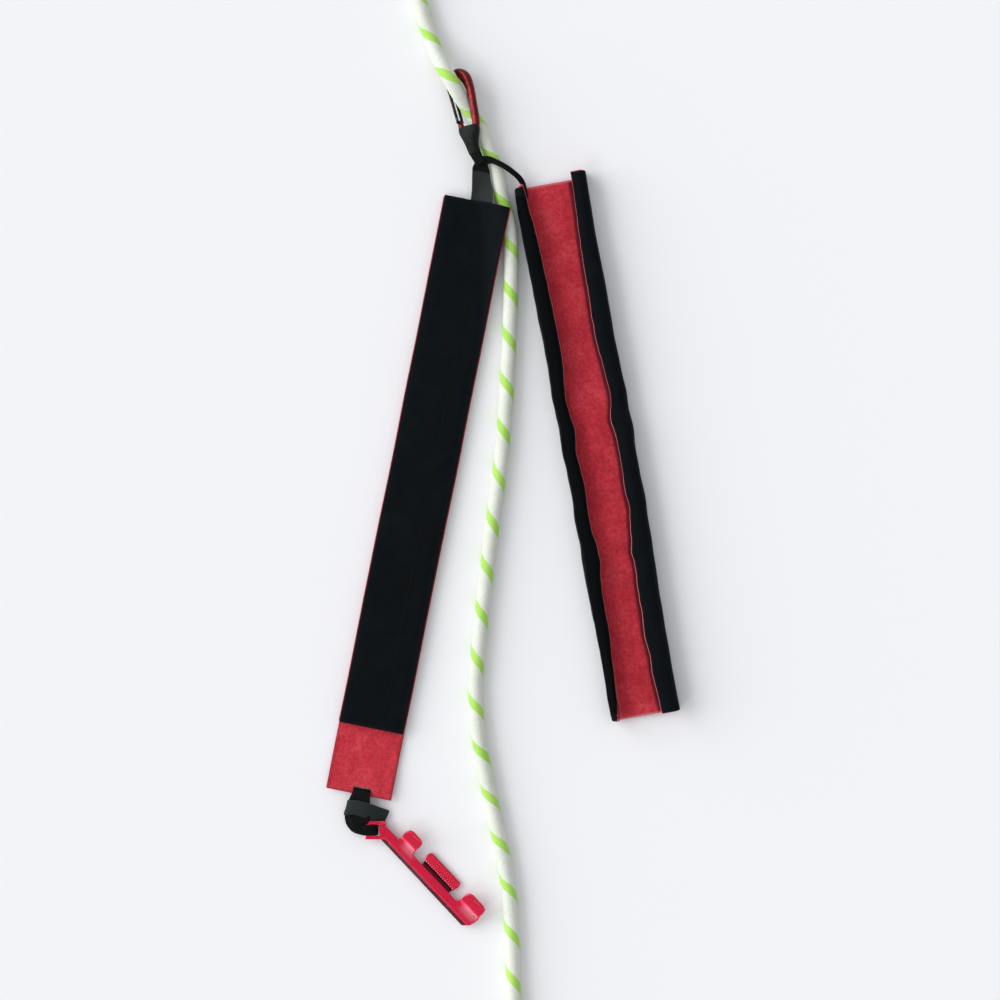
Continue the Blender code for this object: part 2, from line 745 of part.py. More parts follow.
def tab_profile(kind):
    """Section of a tab across the bar: plan distance and height, bending up or down."""
    if kind == "up":
        return [(13.5, 0.0), (15.6, 0.1), (17.4, 0.7), (19.2, 1.9), (20.8, 3.6), (22.0, 5.8), (22.7, 8.2)]
    return [(13.5, 0.0), (15.6, -0.3), (17.2, -1.3), (18.8, -2.5), (20.4, -3.3), (22.2, -3.7), (24.0, -3.9)]


def build_clip(materials, hinge, origin, turn):
    us = [8.0, 12.0, 20.0, 23.0, 29.0, 35.2, 46.0, 61.0, 77.0, 85.6, 94.0, 102.0, 104.2]
    kinds = {2: "up", 3: "up", 4: "up", 6: "down", 7: "down", 9: "up", 10: "up", 11: "up"}
    stations = 8
    low = []
    high = []
    mask = []
    half = 0.5 * CLIP_THICK
    for i, u in enumerate(us):
        kind = kinds.get(i) or kinds.get(i - 1) or "up"
        profile = [(4.5, 0.0)] + tab_profile(kind)
        line_low = []
        line_high = []
        for j in range(stations):
            v, z = profile[j]
            v0, z0 = profile[max(0, j - 1)]
            v1, z1 = profile[min(stations - 1, j + 1)]
            run = math.hypot(v1 - v0, z1 - z0)
            nv = -(z1 - z0) / run
            nz = (v1 - v0) / run
            if j < 2:
                nv, nz = 0.0, 1.0
            for sign, line in ((-1.0, line_low), (1.0, line_high)):
                vv = v + sign * nv * half
                zz = z + sign * nz * half
                x = BAR_U[0] * u + BAR_V[0] * vv
                y = BAR_U[1] * u + BAR_V[1] * vv
                line.append((x, y, zz))
        low.append(line_low)
        high.append(line_high)
    for i in range(len(us) - 1):
        row = [True] + [i in kinds] * (stations - 2)
        mask.append(row)
    eye = np.array([EYE[0], EYE[1], EYE_Z])
    bar = grid_solid("rope_clip", low, high, None, False, mask)
    ring_x = [-1.7, 1.7, 8.9, 13.6]
    ring_y = [-6.9, -4.3, 4.3, 6.9]
    low = [[(x, y, -half) for y in ring_y] for x in ring_x]
    high = [[(x, y, half) for y in ring_y] for x in ring_x]
    ring = grid_solid("rope_clip_eye", low, high, (1, 2, 1, 2))
    at = turn @ (eye - origin)
    pivot = make_empty("rope_clip_hinge", at, -LEFT_YAW, hinge)
    body = place("rope_clip", bar, materials["red_metal"], pivot)
    cutter = place("rope_clip_eye", ring, materials["red_metal"], pivot)
    cutter.hide_render = True
    cutter.display_type = "WIRE"
    join = body.modifiers.new("eye", "BOOLEAN")
    join.operation = "UNION"
    join.solver = "EXACT"
    join.object = cutter


# ---------------------------------------------------------------- rope
def rope_curve(name, points, radius, material):
    curve = bpy.data.curves.new(name, "CURVE")
    curve.dimensions = "3D"
    curve.bevel_depth = radius * MM
    curve.bevel_resolution = 3
    curve.render_resolution_u = 0
    curve.use_fill_caps = True
    spline = curve.splines.new("POLY")
    spline.points.add(len(points) - 1)
    for target, p in zip(spline.points, points):
        target.co = (p[0] * MM, p[1] * MM, p[2] * MM, 1.0)
    body = bpy.data.objects.new(name, curve)
    bpy.context.collection.objects.link(body)
    curve.materials.append(material)
    return body


def build_rope(materials):
    points = spline_points(ROPE_ROUTE, ROPE_STEP)
    rope_curve("rope", points, ROPE_RADIUS, materials["rope"])
    for name, end, nxt in (("rope_cap_upper", points[0], points[1]), ("rope_cap_lower", points[-1], points[-2])):
        flow = (end - nxt) / np.linalg.norm(end - nxt)
        side = np.cross(flow, np.array([0.0, 0.0, 1.0]))
        side = side / np.linalg.norm(side)
        up = np.cross(side, flow)
        rings = []
        count = 16
        outer = CAP_RADIUS
        inner = ROPE_RADIUS + 0.35
        stations = [(2.2, outer - 0.9), (1.4, outer), (-CAP_LENGTH + 0.8, outer), (-CAP_LENGTH, outer - 0.25),
                    (-CAP_LENGTH, inner), (0.3, inner)]
        for along, radius in stations:
            ring = []
            for k in range(count):
                angle = 2.0 * math.pi * k / count
                ring.append(end + flow * along + radius * (math.cos(angle) * side + math.sin(angle) * up))
            rings.append(ring)
        mesh = ring_solid(name, rings)
        place(name, mesh, materials["cap"])


def centre_on_origin():
    """Put the middle of the gear, without its rope, over the scene origin."""
    for item in bpy.data.objects:
        if item.parent is None:
            item.location.x += ORIGIN_SHIFT[0] * MM
            item.location.y += ORIGIN_SHIFT[1] * MM


def main():
    clear_scene()
    materials = {
        "shell": make_material("black_shell_fabric", (0.012, 0.015, 0.018), 0.85),
        "felt": make_material("red_felt_lining", (0.48, 0.045, 0.08), 0.95),
        "hook": make_material("black_hook_tape", (0.02, 0.02, 0.022), 0.8),
        "loop": make_material("black_loop_tape", (0.025, 0.025, 0.028), 0.95),
        "webbing": make_material("dark_grey_webbing", (0.035, 0.038, 0.04), 0.75),
        "thread": make_material("black_stitching", (0.02, 0.02, 0.02), 0.6),
        "rubber": make_material("black_rubber_keeper", (0.015, 0.016, 0.016), 0.55),
        "red_metal": make_material("red_anodised_aluminium", (0.65, 0.01, 0.03), 0.3, 1.0),
        "steel": make_material("dark_steel_wire", (0.09, 0.08, 0.075), 0.35, 1.0),
        "rope": make_material("white_rope_lime_tracer", (0.86, 0.88, 0.82), 0.85),
        "cap": make_material("clear_heat_shrink", (0.75, 0.78, 0.7), 0.4),
    }
    build_rope(materials)
    build_carabiner(materials)
    build_lanyard(materials)
    left = build_left_sleeve(materials)
    left_hanger(materials, left)
    right = build_right_sleeve(materials)
    right_hanger(materials, right)
    hinge, origin, turn = build_tail(materials, left)
    build_clip(materials, hinge, origin, turn)
    centre_on_origin()


main()
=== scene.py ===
"""Looks of a pair of hook-and-loop rope protector sleeves on a lanyard, with carabiner, rope and rope clip.

Lengths are millimetres in the constants and in the point lists, and metres in the meshes. +Z is up.
"""

import json
import math

import bpy
import numpy as np
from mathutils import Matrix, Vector


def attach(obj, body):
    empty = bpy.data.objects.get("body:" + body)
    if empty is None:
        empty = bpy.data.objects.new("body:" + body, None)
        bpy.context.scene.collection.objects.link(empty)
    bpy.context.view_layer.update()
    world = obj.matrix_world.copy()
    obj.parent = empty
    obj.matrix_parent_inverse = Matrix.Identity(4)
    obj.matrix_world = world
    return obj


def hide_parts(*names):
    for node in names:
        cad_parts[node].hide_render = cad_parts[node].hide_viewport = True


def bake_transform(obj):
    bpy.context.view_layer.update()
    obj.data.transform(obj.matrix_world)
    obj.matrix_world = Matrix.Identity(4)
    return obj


MM = 0.001
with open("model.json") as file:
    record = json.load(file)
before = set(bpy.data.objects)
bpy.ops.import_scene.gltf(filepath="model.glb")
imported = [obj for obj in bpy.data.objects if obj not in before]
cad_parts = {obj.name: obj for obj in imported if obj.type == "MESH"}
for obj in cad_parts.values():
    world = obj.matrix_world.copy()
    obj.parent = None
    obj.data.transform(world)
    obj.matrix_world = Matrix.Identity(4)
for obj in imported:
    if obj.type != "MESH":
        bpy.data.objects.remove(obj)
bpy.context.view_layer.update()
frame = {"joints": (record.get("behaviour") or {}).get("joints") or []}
JOINTS = {joint["name"]: joint for joint in frame["joints"]}

# ---- the left sleeve: each Z is the middle of a layer, above the floor where the sleeve lies flat ----
LEFT_HALF = 24.8
LEFT_LENGTH = 402.0
BASE_Z = 0.8
LINING_Z = 2.67
HOOK_Z = 4.12
FLAP_FELT_Z = 4.62
LOOP_Z = 5.17
FLAP_Z = 6.57
FLAP_TOP = 7.32
TAPE_X = (8.0, 21.5)
TAB_END = 452.6
SLOT_X = (-4.9, 8.9)
SLOT_Y = (-449.4, -446.9)
LIP_Y = -451.1
LIP_Z = 3.875
LIFT_HEIGHT = 12.0
LIFT_WIDTH = 22.0
TAB_RAISE = 1.2

# ---- the right sleeve: its layers, its walls' heights, and how far it is moved down along itself ----
RIGHT_LENGTH = 404.0
SHELL_THICK = 1.5
FELT_THICK = 1.4
LAYER_STEP = 1.85
FLOOR_JOIN = 8.0
FLOOR_Z = 0.85
NEAR_RIM_Z = 14.4
FAR_RIM_Z = 17.0
RIGHT_DROP = 4.2
BLEND_Y = -200.0

# ---- points down the length of a sleeve, sewing, straps and rope ----
ROWS = 190
STITCH_PITCH = 2.6
STITCH_LENGTH = 2.0
STITCH_RADIUS = 0.17
WEB = 1.2
ROPE_RADIUS = 5.5
ROPE_LAY = 34.45
CARRIERS = 12
CAP_RADIUS = 6.2
CAP_LENGTH = 12.0
ROPE_ROUTE = [
    (-72.0, 394.8, 6.4),
    (-64.0, 372.4, 6.2),
    (-57.8, 351.4, 6.0),
    (-50.6, 331.5, 9.0),
    (-45.2, 319.4, 14.0),
    (-40.4, 310.8, 16.2),
    (-34.6, 301.0, 13.4),
    (-26.6, 289.4, 7.2),
    (-18.6, 275.6, 5.8),
    (-13.6, 264.0, 5.6),
    (-9.6, 254.6, 5.6),
    (-5.3, 241.1, 5.6),
    (-1.9, 223.0, 5.6),
    (3.0, 205.9, 5.6),
    (5.0, 187.5, 5.6),
    (4.9, 147.0, 5.6),
    (2.4, 87.4, 5.6),
    (-1.5, 34.9, 5.6),
    (-9.0, -24.0, 5.6),
    (-15.6, -78.0, 5.6),
    (-20.0, -123.0, 5.6),
    (-21.4, -146.0, 5.6),
    (-18.6, -182.0, 5.6),
    (-10.6, -224.0, 5.6),
    (-2.4, -262.0, 5.6),
    (3.8, -298.0, 5.6),
    (6.4, -345.0, 5.6),
    (7.0, -375.0, 6.1),
    (7.3, -398.0, 6.4),
]

# ---- carabiner: (across, along, radius) of its rod, in its own tilted plane ----
BINER_FOOT = (-25.5, 272.6)
BINER_AXIS = (-0.172, 0.985)
BINER_TILT = 37.0
BINER_MID_Z = 10.9
BINER_PITCH = 0.05
BINER_BODY = [
    (-7.7, 8.2, 1.3),
    (-7.2, 5.2, 2.0),
    (-6.2, 2.2, 2.3),
    (-3.8, 0.2, 2.3),
    (0.0, 0.0, 2.3),
    (4.0, 0.2, 2.3),
    (6.4, 2.4, 2.5),
    (7.1, 6.6, 2.7),
    (7.2, 12.0, 2.9),
    (7.3, 20.0, 2.8),
    (7.3, 28.0, 2.9),
    (6.3, 34.6, 3.4),
    (4.3, 39.8, 3.9),
    (1.2, 43.0, 3.7),
    (-2.4, 44.4, 3.1),
    (-6.2, 43.4, 2.6),
    (-9.4, 40.2, 2.2),
    (-10.9, 36.4, 1.3),
]
GATE_FOOT = (-7.7, 9.4)
GATE_NOSE = (-11.0, 35.4)
GATE_PIN = (-7.6, 8.0)
GATE_WIRE = 1.1
GATE_SPREAD = 2.75

# ---- rubber keeper: half its width and half its height at each distance below its top ----
KEEPER = [
    (0.0, 8.5, 3.9),
    (3.0, 8.8, 4.4),
    (6.5, 7.8, 4.6),
    (9.5, 6.3, 4.5),
    (12.5, 5.3, 4.0),
    (16.0, 4.7, 3.3),
    (22.0, 4.4, 3.0),
]
KEEPER_TOP = 3.7
KEEPER_WALL = 0.8
KEEPER_RISE = 0.45

# ---- rope clip: its bar's directions on the floor, seen from its eye ----
BAR_U = (0.685, -0.729)
BAR_V = (0.729, 0.685)
EYE = (-101.8, -249.4)
EYE_Z = 5.6
CLIP_THICK = 3.0
ROUNDING = (60.0, 25.0, 1.0, -1.0, -25.0, -60.0)

# ---- camera: straight above ----
CAMERA_SPOT = (-2.29, -1.28, 2000.0)
CAMERA_LENS = 96.0


# ---------------------------------------------------------------- places
UP = np.array([0.0, 0.0, 1.0])


def joint_spot(name):
    return np.array(JOINTS[name]["pos_m"]) / MM


def unit(v):
    v = np.asarray(v, dtype=float)
    return v / np.linalg.norm(v, axis=-1, keepdims=True)


class Local:
    """Flat frame of one sleeve: x across it, y along it (down is negative), z up."""

    def __init__(self, origin, along):
        self.origin = np.array([origin[0], origin[1], 0.0])
        self.along = unit([along[0], along[1], 0.0])
        self.across = np.array([self.along[1], -self.along[0], 0.0])

    def world(self, points):
        p = np.asarray(points, dtype=float)
        return self.origin + p[..., 0:1] * self.across + p[..., 1:2] * self.along + p[..., 2:3] * UP


SPLIT = joint_spot("left_sleeve_swing")
SHIFT = SPLIT - np.array([-16.5, 250.1, 0.0])
LEFT_DOWN = np.array(JOINTS["left_flap_open"]["axis"])
LEFT_HINGE = joint_spot("left_flap_open")
LEFT = Local(LEFT_HINGE + 24.6 * unit([-LEFT_DOWN[1], LEFT_DOWN[0], 0.0]), -LEFT_DOWN)
SPLIT_LEFT = ((SPLIT - LEFT.origin).dot(LEFT.across), (SPLIT - LEFT.origin).dot(LEFT.along))
NEAR_HINGE = joint_spot("right_near_flap")
FAR_HINGE = joint_spot("right_far_flap")
RIGHT_ACROSS = unit(FAR_HINGE - NEAR_HINGE)
RIGHT_ALONG = np.array([-RIGHT_ACROSS[1], RIGHT_ACROSS[0], 0.0])
RIGHT = Local(0.5 * (NEAR_HINGE + FAR_HINGE) - RIGHT_DROP * RIGHT_ALONG, RIGHT_ALONG)
EYE_SPOT = np.array([EYE[0], EYE[1], 0.0]) + SHIFT
BINER_ALONG = unit([BINER_AXIS[0], BINER_AXIS[1], 0.0])
BINER_FLAT = np.array([BINER_ALONG[1], -BINER_ALONG[0], 0.0])
BINER_ACROSS = BINER_FLAT * math.cos(math.radians(BINER_TILT)) + UP * math.sin(math.radians(BINER_TILT))
BINER_NORMAL = unit(np.cross(BINER_ACROSS, BINER_ALONG - BINER_PITCH * UP))


# ---------------------------------------------------------------- numbers
def smooth(t):
    t = np.clip(t, 0.0, 1.0)
    return t * t * (3.0 - 2.0 * t)


def line_through(points):
    """Smooth single-valued line through given (place, value) points, as a function."""
    points = sorted(points)
    xs = np.array([p[0] for p in points], dtype=float)
    ys = np.array([p[1] for p in points], dtype=float)
    slopes = np.gradient(ys, xs)

    def at(x):
        x = np.clip(np.asarray(x, dtype=float), xs[0], xs[-1])
        i = np.clip(np.searchsorted(xs, x) - 1, 0, len(xs) - 2)
        span = xs[i + 1] - xs[i]
        t = (x - xs[i]) / span
        a = 2 * t ** 3 - 3 * t ** 2 + 1
        b = t ** 3 - 2 * t ** 2 + t
        c = -2 * t ** 3 + 3 * t ** 2
        d = t ** 3 - t ** 2
        return a * ys[i] + b * span * slopes[i] + c * ys[i + 1] + d * span * slopes[i + 1]

    return at


def ripple(x, y, seed, wave):
    """Smooth wandering surface from a few sine waves of about one length, about -1 to 1."""
    count = 7
    rng = np.random.default_rng(seed)
    total = np.zeros(np.broadcast(x, y).shape)
    for _ in range(count):
        turn = rng.uniform(0.0, 2.0 * math.pi)
        size = wave * rng.uniform(0.55, 1.8)
        phase = rng.uniform(0.0, 2.0 * math.pi)
        total = total + np.sin((np.cos(turn) * x + np.sin(turn) * y) * 2.0 * math.pi / size + phase)
    return total / math.sqrt(count) / 1.4


def catmull(p0, p1, p2, p3, t):
    """Place at a share t of the way from p1 to p2 on a Catmull-Rom curve."""
    return 0.5 * (2.0 * p1 + (p2 - p0) * t + (2.0 * p0 - 5.0 * p1 + 4.0 * p2 - p3) * t * t
                  + (3.0 * p1 - p0 - 3.0 * p2 + p3) * t ** 3)


def with_ends(knots):
    """Knots with one more at each end, straight on."""
    return np.vstack([2.0 * knots[0] - knots[1], knots, 2.0 * knots[-1] - knots[-2]])


def spline_points(route, step):
    """Evenly spaced points on a Catmull-Rom curve through the route."""
    knots = with_ends(np.array(route, dtype=float))
    spans = [knots[k:len(knots) - 3 + k, None, :] for k in range(4)]
    fine = catmull(*spans, (np.arange(24) / 24.0)[None, :, None])
    fine = np.vstack([fine.reshape(-1, knots.shape[1]), knots[-2:-1]])
    lengths = run_lengths(fine)
    count = max(2, int(round(lengths[-1] / step)) + 1)
    return resample(fine, np.linspace(0.0, lengths[-1], count))


def run_lengths(points):
    steps = np.linalg.norm(np.diff(points, axis=0), axis=1)
    return np.concatenate([[0.0], np.cumsum(steps)])


def resample(points, places):
    lengths = run_lengths(points)
    return np.stack([np.interp(places, lengths, points[:, k]) for k in range(points.shape[1])], axis=1)


def directions(points, closed=False):
    """Unit direction of travel at each point."""
    points = np.asarray(points, dtype=float)
    if closed:
        return unit(np.roll(points, -1, axis=0) - np.roll(points, 1, axis=0))
    return unit(np.gradient(points, axis=0))


# ---------------------------------------------------------------- meshes
def finish_mesh(name, points, faces, uvs, material, sharp=None, rim=None):
    """Object from points in mm, faces, one (u, v) for each face corner in mm, and a rim value per point:
    scuffed edges on shell and webbing, pale edges on the felt, painted shade where it is below 0, and a
    painted highlight on the clip's tab bends.
    """
    mesh = bpy.data.meshes.new(name)
    mesh.from_pydata((np.asarray(points) * MM).tolist(), [], faces)
    layer = mesh.uv_layers.new(name="weave")
    layer.data.foreach_set("uv", np.asarray(uvs, dtype=np.float32).ravel())
    worn_and_painted_light = mesh.attributes.new("rim", "FLOAT", "POINT")
    values = np.zeros(len(points), np.float32) if rim is None else np.asarray(rim, np.float32)
    worn_and_painted_light.data.foreach_set("value", values)
    corners = np.asarray(points)
    volume = 0.0
    for face in faces:
        a = corners[face[0]]
        for k in range(1, len(face) - 1):
            volume += a.dot(np.cross(corners[face[k]], corners[face[k + 1]]))
    if volume < 0.0:
        mesh.flip_normals()
    mesh.polygons.foreach_set("use_smooth", [True] * len(mesh.polygons))
    if sharp:
        mesh.set_sharp_from_angle(angle=math.radians(sharp))
    mesh.materials.append(material)
    mesh.update()
    body = bpy.data.objects.new(name, mesh)
    bpy.context.scene.collection.objects.link(body)
    return body


def sweep(name, rings, around, along, material, closed=False, sharp=None, rim=None):
    """Skin over rings of points; around has one value more than a ring, along one more than a closed run."""
    rings = np.asarray(rings, dtype=float)
    count, sides = rings.shape[:2]
    spans = count if closed else count - 1
    faces = []
    uvs = []
    for i in range(spans):
        k = (i + 1) % count
        for j in range(sides):
            m = (j + 1) % sides
            faces.append((i * sides + j, k * sides + j, k * sides + m, i * sides + m))
            uvs += [(around[j], along[i]), (around[j], along[i + 1]), (around[j + 1], along[i + 1]),
                    (around[j + 1], along[i])]
    if not closed:
        for first in (0, (count - 1) * sides):
            cap = [first + j for j in range(sides)]
            faces.append(tuple(cap if first == 0 else reversed(cap)))
            uvs += [(around[j], along[0 if first == 0 else -1]) for j in range(sides)]
    wear = None if rim is None else np.tile(rim, count)
    return finish_mesh(name, rings.reshape(-1, 3), faces, uvs, material, sharp, wear)


def round_rings(centres, radii, first, second, turn):
    """Rings round centres, with a radius for each ring and angle, from the first axis towards the second."""
    aim = np.cos(turn)[None, :, None] * first[:, None, :] + np.sin(turn)[None, :, None] * second[:, None, :]
    return centres[:, None, :] + radii[:, :, None] * aim


def tube(name, centres, radii, normal, material, sides, groove=0.0):
    """Round rod near one plane, with domed ends and a shallow groove down both flat sides."""
    centres = np.asarray(centres, dtype=float)
    radii = np.asarray(radii, dtype=float)
    flow = directions(centres)
    dome = np.array([0.5, 0.95, 1.35])
    before = centres[0] - flow[0] * (radii[0] * np.sin(dome[::-1]))[:, None]
    after = centres[-1] + flow[-1] * (radii[-1] * np.sin(dome))[:, None]
    centres = np.vstack([before, centres, after])
    radii = np.concatenate([radii[0] * np.cos(dome[::-1]), radii, radii[-1] * np.cos(dome)])
    flow = np.vstack([flow[[0, 0, 0]], flow, flow[[-1, -1, -1]]])
    across = unit(np.cross(np.broadcast_to(normal, flow.shape), flow))
    up = np.cross(flow, across)
    turn = np.linspace(0.0, 2.0 * math.pi, sides, endpoint=False)
    shape = 1.0 - groove * np.exp(-((np.abs(np.sin(turn)) - 1.0) / 0.12) ** 2)
    rings = round_rings(centres, radii[:, None] * shape[None, :], across, up, turn)
    around = np.linspace(0.0, 2.0 * math.pi * radii.max(), sides + 1)
    return sweep(name, rings, around, run_lengths(centres), material)


def strap(name, centres, sides, widths, thick, material, closed=False, crown=0.1):
    """Flat woven strap with rounded selvedges, swept along centres with its width along the side vectors."""
    centres = np.asarray(centres, dtype=float)
    flow = directions(centres, closed)
    side = np.asarray(sides, dtype=float)
    side = unit(side - flow * np.sum(side * flow, axis=1, keepdims=True))
    up = np.cross(flow, side)
    half = 0.5 * np.asarray(widths, dtype=float)
    h = 0.5 * thick
    flat = np.array([-0.78, -0.4, 0.0, 0.4, 0.78])
    profile = [(a, 1.0 + crown * (1.0 - a * a)) for a in flat] + [(0.95, 0.72), (1.0, 0.0), (0.95, -0.72)]
    profile += [(-a, -b) for a, b in profile]
    rings = np.stack([centres + side * (half * a)[:, None] + up * (h * b) for a, b in profile], axis=1)
    wide = float(np.mean(half))
    around = [wide * (a + 1.0) for a, _ in profile]
    around = around + [around[0] - 0.1]
    places = run_lengths(np.vstack([centres, centres[:1]]) if closed else centres)
    wear = [1.0 if abs(a) > 0.9 else 0.0 for a, _ in profile]
    return sweep(name, rings, around, places, material, closed, rim=wear)


def sheet_faces(rows, cols, hole):
    """Faces of a sheet's top and underside, and the sides of its hole: the rows and columns left out."""
    shift = rows * cols
    keep = np.ones((rows - 1, cols - 1), dtype=bool)
    if hole:
        keep[hole[0]:hole[1], hole[2]:hole[3]] = False
    faces = []
    for i in range(rows - 1):
        for j in range(cols - 1):
            a, b, c, d = i * cols + j, (i + 1) * cols + j, (i + 1) * cols + j + 1, i * cols + j + 1
            if keep[i, j]:
                faces.append((a, b, c, d))
                faces.append((a + shift, d + shift, c + shift, b + shift))
                continue
            if keep[i - 1, j]:
                faces.append((a, d, d + shift, a + shift))
            if keep[i + 1, j]:
                faces.append((c, b, b + shift, c + shift))
            if keep[i, j - 1]:
                faces.append((b, a, a + shift, b + shift))
            if keep[i, j + 1]:
                faces.append((d, c, c + shift, d + shift))
    return faces


def cloth(name, grid, thick, material, radius=None, hole=None, stops=(60.0, 0.0, -60.0), wear=None, edge=1.0):
    """Closed sheet around a grid of centre points (rows down, columns across) with rounded rims."""
    grid = np.asarray(grid, dtype=float)
    rows, cols = grid.shape[:2]
    across = np.gradient(grid, axis=1)
    down = np.gradient(grid, axis=0)
    normal = unit(np.cross(across, down))
    outward = np.zeros_like(grid)
    outward[0] -= unit(down[0])
    outward[-1] += unit(down[-1])
    outward[:, 0] -= unit(across[:, 0])
    outward[:, -1] += unit(across[:, -1])
    radius = 0.5 * thick if radius is None else radius
    core = grid - outward * radius
    top = core + normal * (0.5 * thick)
    low = core - normal * (0.5 * thick)
    u = run_lengths(grid[rows // 2])
    v = run_lengths(grid[:, cols // 2])
    place = np.stack(np.broadcast_arrays(u[None, :], v[:, None]), axis=-1).reshape(-1, 2)
    border = [(0, j) for j in range(cols)] + [(i, cols - 1) for i in range(1, rows)]
    border += [(rows - 1, j) for j in range(cols - 2, -1, -1)] + [(i, 0) for i in range(rows - 2, 0, -1)]
    points = [top.reshape(-1, 3), low.reshape(-1, 3)]
    coords = [place, place]
    shift = rows * cols
    # These values go to the rim attribute: below 0 they are painted shade on the felt; above 0 they make pale
    # felt edges, scuffed shell and webbing edges, and the painted highlight on the clip's tab bends.
    wear = np.zeros((rows, cols)) if wear is None else np.array(np.broadcast_to(wear, (rows, cols)))
    wear[0] = wear[-1] = edge
    wear[:, 0] = wear[:, -1] = edge
    rims = [wear.ravel(), wear.ravel()]
    chain = [[i * cols + j for i, j in border]]
    total = 2 * shift
    index = np.array(border)
    for angle in stops:
        a = math.radians(angle)
        level = (0.5 * thick - radius) * math.copysign(1.0, angle) if angle else 0.0
        ring = (core[index[:, 0], index[:, 1]] + outward[index[:, 0], index[:, 1]] * radius * math.cos(a)
                + normal[index[:, 0], index[:, 1]] * (level + radius * math.sin(a)))
        points.append(ring)
        coords.append(place[index[:, 0] * cols + index[:, 1]])
        rims.append(np.full(len(border), edge))
        chain.append([total + k for k in range(len(border))])
        total += len(border)
    chain.append([shift + i * cols + j for i, j in border])
    faces = sheet_faces(rows, cols, hole)
    count = len(border)
    for upper, lower in zip(chain[:-1], chain[1:]):
        for k in range(count):
            m = (k + 1) % count
            faces.append((upper[k], upper[m], lower[m], lower[k]))
    points = np.vstack(points)
    coords = np.vstack(coords)
    used = np.zeros(len(points), bool)
    used[[i for face in faces for i in face]] = True
    remap = np.cumsum(used) - 1
    faces = [tuple(int(remap[i]) for i in face) for face in faces]
    coords = coords[used]
    uvs = [coords[i] for face in faces for i in face]
    sharp = 50 if hole else None
    return finish_mesh(name, points[used], faces, uvs, material, sharp, np.concatenate(rims)[used])


def stitches(name, spots, length, radius, material):
    """Thread stitches as small arched capsules; each spot is (centre, direction, normal) in mm."""
    places = [-0.5, -0.36, -0.12, 0.12, 0.36, 0.5]
    sizes = [0.35, 0.9, 1.0, 1.0, 0.9, 0.35]
    arch = [-0.9, 0.0, 0.35, 0.35, 0.0, -0.9]
    turn = np.linspace(0.0, 2.0 * math.pi, 6, endpoint=False)
    points = []
    faces = []
    uvs = []
    for centre, flow, normal in spots:
        base = len(points)
        side = np.cross(normal, flow)
        for place, size, rise in zip(places, sizes, arch):
            mid = centre + flow * (place * length) + normal * (rise * radius)
            for a in turn:
                points.append(mid + (side * math.cos(a) + normal * math.sin(a)) * (radius * size))
        for i in range(len(places) - 1):
            for j in range(6):
                m = (j + 1) % 6
                faces.append((base + i * 6 + j, base + i * 6 + m, base + i * 6 + 6 + m, base + i * 6 + 6 + j))
                uvs += [(j, places[i] * length), (j + 1, places[i] * length), (j + 1, places[i + 1] * length),
                        (j, places[i + 1] * length)]
        last = base + (len(places) - 1) * 6
        faces.append(tuple(base + j for j in reversed(range(6))))
        faces.append(tuple(last + j for j in range(6)))
        uvs += [(j, 0.0) for j in range(12)]
    return finish_mesh(name, np.array(points), faces, uvs, material)


def stitch_row(path, normals):
    """Stitch spots evenly along a path of points."""
    lengths = run_lengths(path)
    places = np.arange(0.5 * STITCH_PITCH, lengths[-1], STITCH_PITCH)
    centres = resample(path, places)
    ahead = resample(path, places + 0.2)
    behind = resample(path, places - 0.2)
    tops = np.stack([np.interp(places, lengths, normals[:, k]) for k in range(3)], axis=1)
    flow = unit(ahead - behind)
    tops = unit(tops - flow * np.sum(tops * flow, axis=1, keepdims=True))
    return list(zip(centres, flow, tops))


